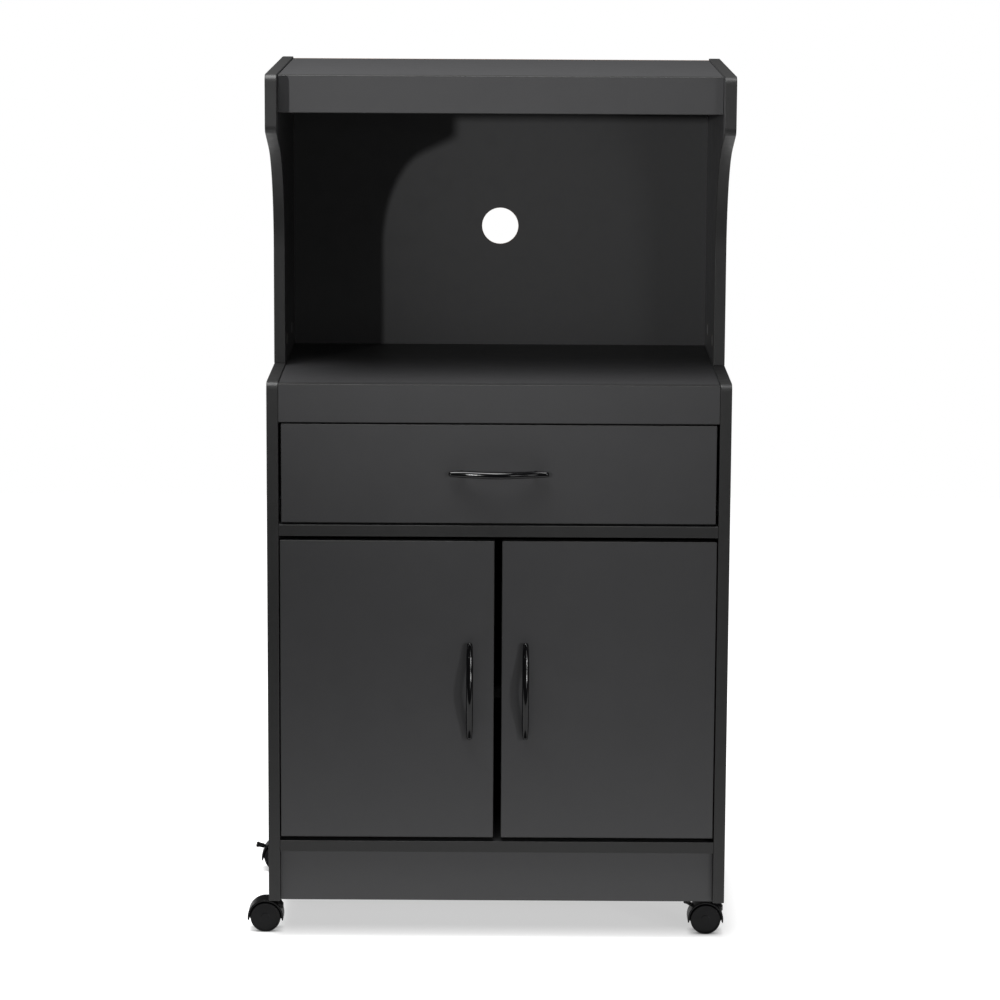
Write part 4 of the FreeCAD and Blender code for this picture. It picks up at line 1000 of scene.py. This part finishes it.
    def wheel(self, surface, axle, facing, radius=20.0, near=2.7, far=14.0):
        """A wheel turned about the axle: rounded tread, a dished face with a stepped ring and a
        low hub cap, and the open side towards the web."""
        corners = [
            (0, near + 0.3), (4.5, near + 0.3), (4.5, far - 2.4), (17, far - 2.4),
            (17, near), (radius, near), (radius, far), (18, far),
            (17, far - 0.7), (6.2, far - 0.3), (5.4, far), (0, far),
        ]
        radii = [0.4, 0.8, 0.8, 0.5, 1.0, 1.6, 0.6, 0.6, 0.6, 0.4]
        profile, normals = turned_profile(corners, radii)
        turned(surface, profile * (1, facing), normals * (1, facing), axle, "Y", steps=64)

    def lever(self, surface, axle, angle):
        """Round head, flat arm and a wide pedal whose tip is a thicker bead, all along one line
        that rises from the pivot by the lever's angle.  Corners are (along, above) the line."""
        pivot = axle[[0, 2]] + (-self.PIVOT_OUT, self.PIVOT_UP)
        line = np.array([[-math.cos(angle), math.sin(angle)], [math.sin(angle), math.cos(angle)]])
        arm = [(-3.5, -2), (-3.5, 2), (16, 2), (16, -2)]
        pedal = [
            (13.2, -1.4), (13.2, 1.2), (19.5, 1.3), (21.5, 2.0),
            (24.3, 2.0), (24.3, -2.2), (21.5, -2.2), (19.5, -1.5),
        ]
        for corners, radii, half, ease in (
            (arm, [1.9, 1.9, 0.3, 0.3], self.ARM_HALF, 0.3),
            (pedal, [0.8, 0.8, 2.0, 1.5, 1.6, 1.6, 1.2, 2.0], self.PEDAL_HALF, 0.8),
        ):
            outline = rounded(pivot + np.array(corners) @ line, radii)
            self.plate(surface, outline, axle, half, ease)

    def plate(self, surface, outline, axle, half, ease):
        """A plate that stands across the axle, as far to either side of the caster's middle."""
        put = laid("side view")
        solid(surface, outline, axle[1] - half, axle[1] + half, ease, put, slots=(0, 0, 0))


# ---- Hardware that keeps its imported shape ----


class CartFittings(bpy.types.Operator):
    """Finishes of the hinges, runners, rollers, pins, cams, screws and sockets"""

    bl_idname = "cart.fittings"
    bl_label = "Fittings"

    def execute(self, context):
        finishes = {
            nickel_plated_steel: "hinge_arms hinge_plates shelf_pins SIDE_hinge_cups",
            bright_zinc_steel: "cam_fittings drawer_handle_screws SIDE_door_handle_screws",
            epoxy_coated_steel: "cabinet_runner_SIDE drawer_runner_SIDE",
            natural_nylon: "cabinet_roller_SIDE drawer_roller_SIDE",
            moulded_black_nylon: "caster_sockets",
        }
        for recipe, nodes in finishes.items():
            for side, _ in SIDES:
                for node in nodes.replace("SIDE", side).split():
                    refinish(node, recipe)
        return {"FINISHED"}


# ---- Stage, lights and camera, in metres, watts and degrees ----


class CartStage(bpy.types.Operator):
    """Pale floor, studio lights and the camera"""

    bl_idname = "cart.stage"
    bl_label = "Stage"

    # how far the floor runs to either side, before the cart and behind it
    ACROSS, AHEAD, BEHIND = 2.6, 0.7, 3.2
    # how bright the white air is to the camera, and how much of it lights the cart
    AIR_SEEN, AIR_FELT = 1.0, 0.075
    # the camera's place, its turns in radians, and its lens in millimetres
    CAMERA_PLACE = (0.002363, -4.997025, 1.436408)
    CAMERA_TURNS = (("Z", 0.00012), ("X", -0.17437), ("Y", -0.00549))
    LENS, SENSOR = 135.57, 36

    def execute(self, context):
        self.floor()
        self.world(context.scene)
        self.spot("key", (-5.15, -8.83, 1.87), (0.03, -0.1, 1.03), 6.6, 0.17, 3450)
        self.panel("overhead", (-0.35, -0.5, 2.9), (0, -0.15, 0.4), 1.6, 1.3, 122)
        self.panel("right_fill", (1.8, -3.9, 0.95), (0, -0.1, 0.5), 0.7, 1.4, 20)
        self.spot("low_right", (3.0, -3.7, 1.25), (0.03, -0.2, 0.33), 11.0, 0.3, 430)
        self.camera(context.scene)
        return {"FINISHED"}

    def floor(self):
        mesh = bpy.data.meshes.new("studio_floor")
        left, right, near, far = -self.ACROSS, self.ACROSS, -self.AHEAD, self.BEHIND
        corners = [(left, near, 0), (right, near, 0), (right, far, 0), (left, far, 0)]
        mesh.from_pydata(corners, [], [(0, 1, 2, 3)])
        # the floor's material glows, with a painted shadow under the cart and painted contact
        # shadows at the wheels
        mesh.materials.append(made(glowing_floor_painted_shadow))
        floor = bpy.data.objects.new("studio_floor", mesh)
        bpy.context.scene.collection.objects.link(floor)

    def world(self, scene):
        """White air: the camera sees it in full, and the cart is lit by a little of it."""
        scene.world = bpy.data.worlds.new("studio")
        scene.world.use_nodes = True
        tree = scene.world.node_tree
        tree.nodes.clear()
        path = add_node(tree, "ShaderNodeLightPath")
        felt, seen = (
            add_node(tree, "ShaderNodeBackground", {"Color": (1, 1, 1, 1), "Strength": strength})
            for strength in (self.AIR_FELT, self.AIR_SEEN)
        )
        inputs = {0: path.outputs["Is Camera Ray"], 1: felt.outputs[0], 2: seen.outputs[0]}
        mix = add_node(tree, "ShaderNodeMixShader", inputs)
        add_node(tree, "ShaderNodeOutputWorld", {"Surface": mix.outputs[0]})
        scene.view_settings.view_transform = "Standard"
        scene.view_settings.look = "None"

    def panel(self, name, place, target, width, height, power):
        """A rectangular soft light that faces its target."""
        light = bpy.data.lights.new(name, "AREA")
        light.shape = "RECTANGLE"
        light.size, light.size_y = width, height
        self.stand(name, light, place, target, power)

    def spot(self, name, place, target, cone, radius, power):
        """A lamp of the given radius with a soft-edged cone, whose full angle is given."""
        light = bpy.data.lights.new(name, "SPOT")
        light.spot_size = math.radians(cone)
        light.spot_blend = 1.0
        light.shadow_soft_size = radius
        self.stand(name, light, place, target, power)

    def stand(self, name, light, place, target, power):
        """Puts the light at its place, turned to its target."""
        light.energy = power
        lamp = bpy.data.objects.new(name, light)
        lamp.location = place
        lamp.rotation_euler = (Vector(target) - Vector(place)).to_track_quat("-Z", "Y").to_euler()
        bpy.context.scene.collection.objects.link(lamp)

    def camera(self, scene):
        """The photograph's view: from 5 m, a little above the top, looking ten degrees down."""
        data = bpy.data.cameras.new("view")
        data.sensor_width = self.SENSOR
        data.sensor_fit = "HORIZONTAL"
        data.lens = self.LENS
        data.clip_end = 100
        camera = bpy.data.objects.new("view", data)
        tilt = Matrix.Identity(3)
        for axis, angle in self.CAMERA_TURNS:
            tilt = tilt @ Matrix.Rotation(angle, 3, axis)
        right, ahead, up = tilt.col
        turn = Matrix((right, up, -ahead)).transposed()
        camera.matrix_world = Matrix.Translation(self.CAMERA_PLACE) @ turn.to_4x4()
        scene.collection.objects.link(camera)
        scene.camera = camera


class CartPanel(bpy.types.Panel):
    """Settings of the cart and a button for each group of pieces"""

    bl_idname = "VIEW3D_PT_cart"
    bl_label = "Microwave cart"
    bl_space_type = "VIEW_3D"
    bl_region_type = "UI"
    bl_category = "Cart"

    def draw(self, context):
        column = self.layout.column()
        for group in (context.scene.cart_finish, context.scene.cart_sizes):
            for name in group.__annotations__:
                column.prop(group, name)
        for operator in PIECES:
            column.operator(operator.bl_idname)


PIECES = (
    CartBoards,
    CartSides,
    CartBacks,
    CartDoors,
    CartDrawer,
    CartHandles,
    CartCasters,
    CartFittings,
    CartStage,
)
CLASSES = (CartFinish, CartSizes, *PIECES, CartPanel)


def register():
    for item in CLASSES:
        bpy.utils.register_class(item)
    bpy.types.Scene.cart_finish = PointerProperty(type=CartFinish)
    bpy.types.Scene.cart_sizes = PointerProperty(type=CartSizes)


def unregister():
    del bpy.types.Scene.cart_sizes
    del bpy.types.Scene.cart_finish
    for item in reversed(CLASSES):
        bpy.utils.unregister_class(item)


def main():
    register()
    for operator in PIECES:
        group, name = operator.bl_idname.split(".")
        getattr(getattr(bpy.ops, group), name)()


if __name__ == "__main__":
    main()
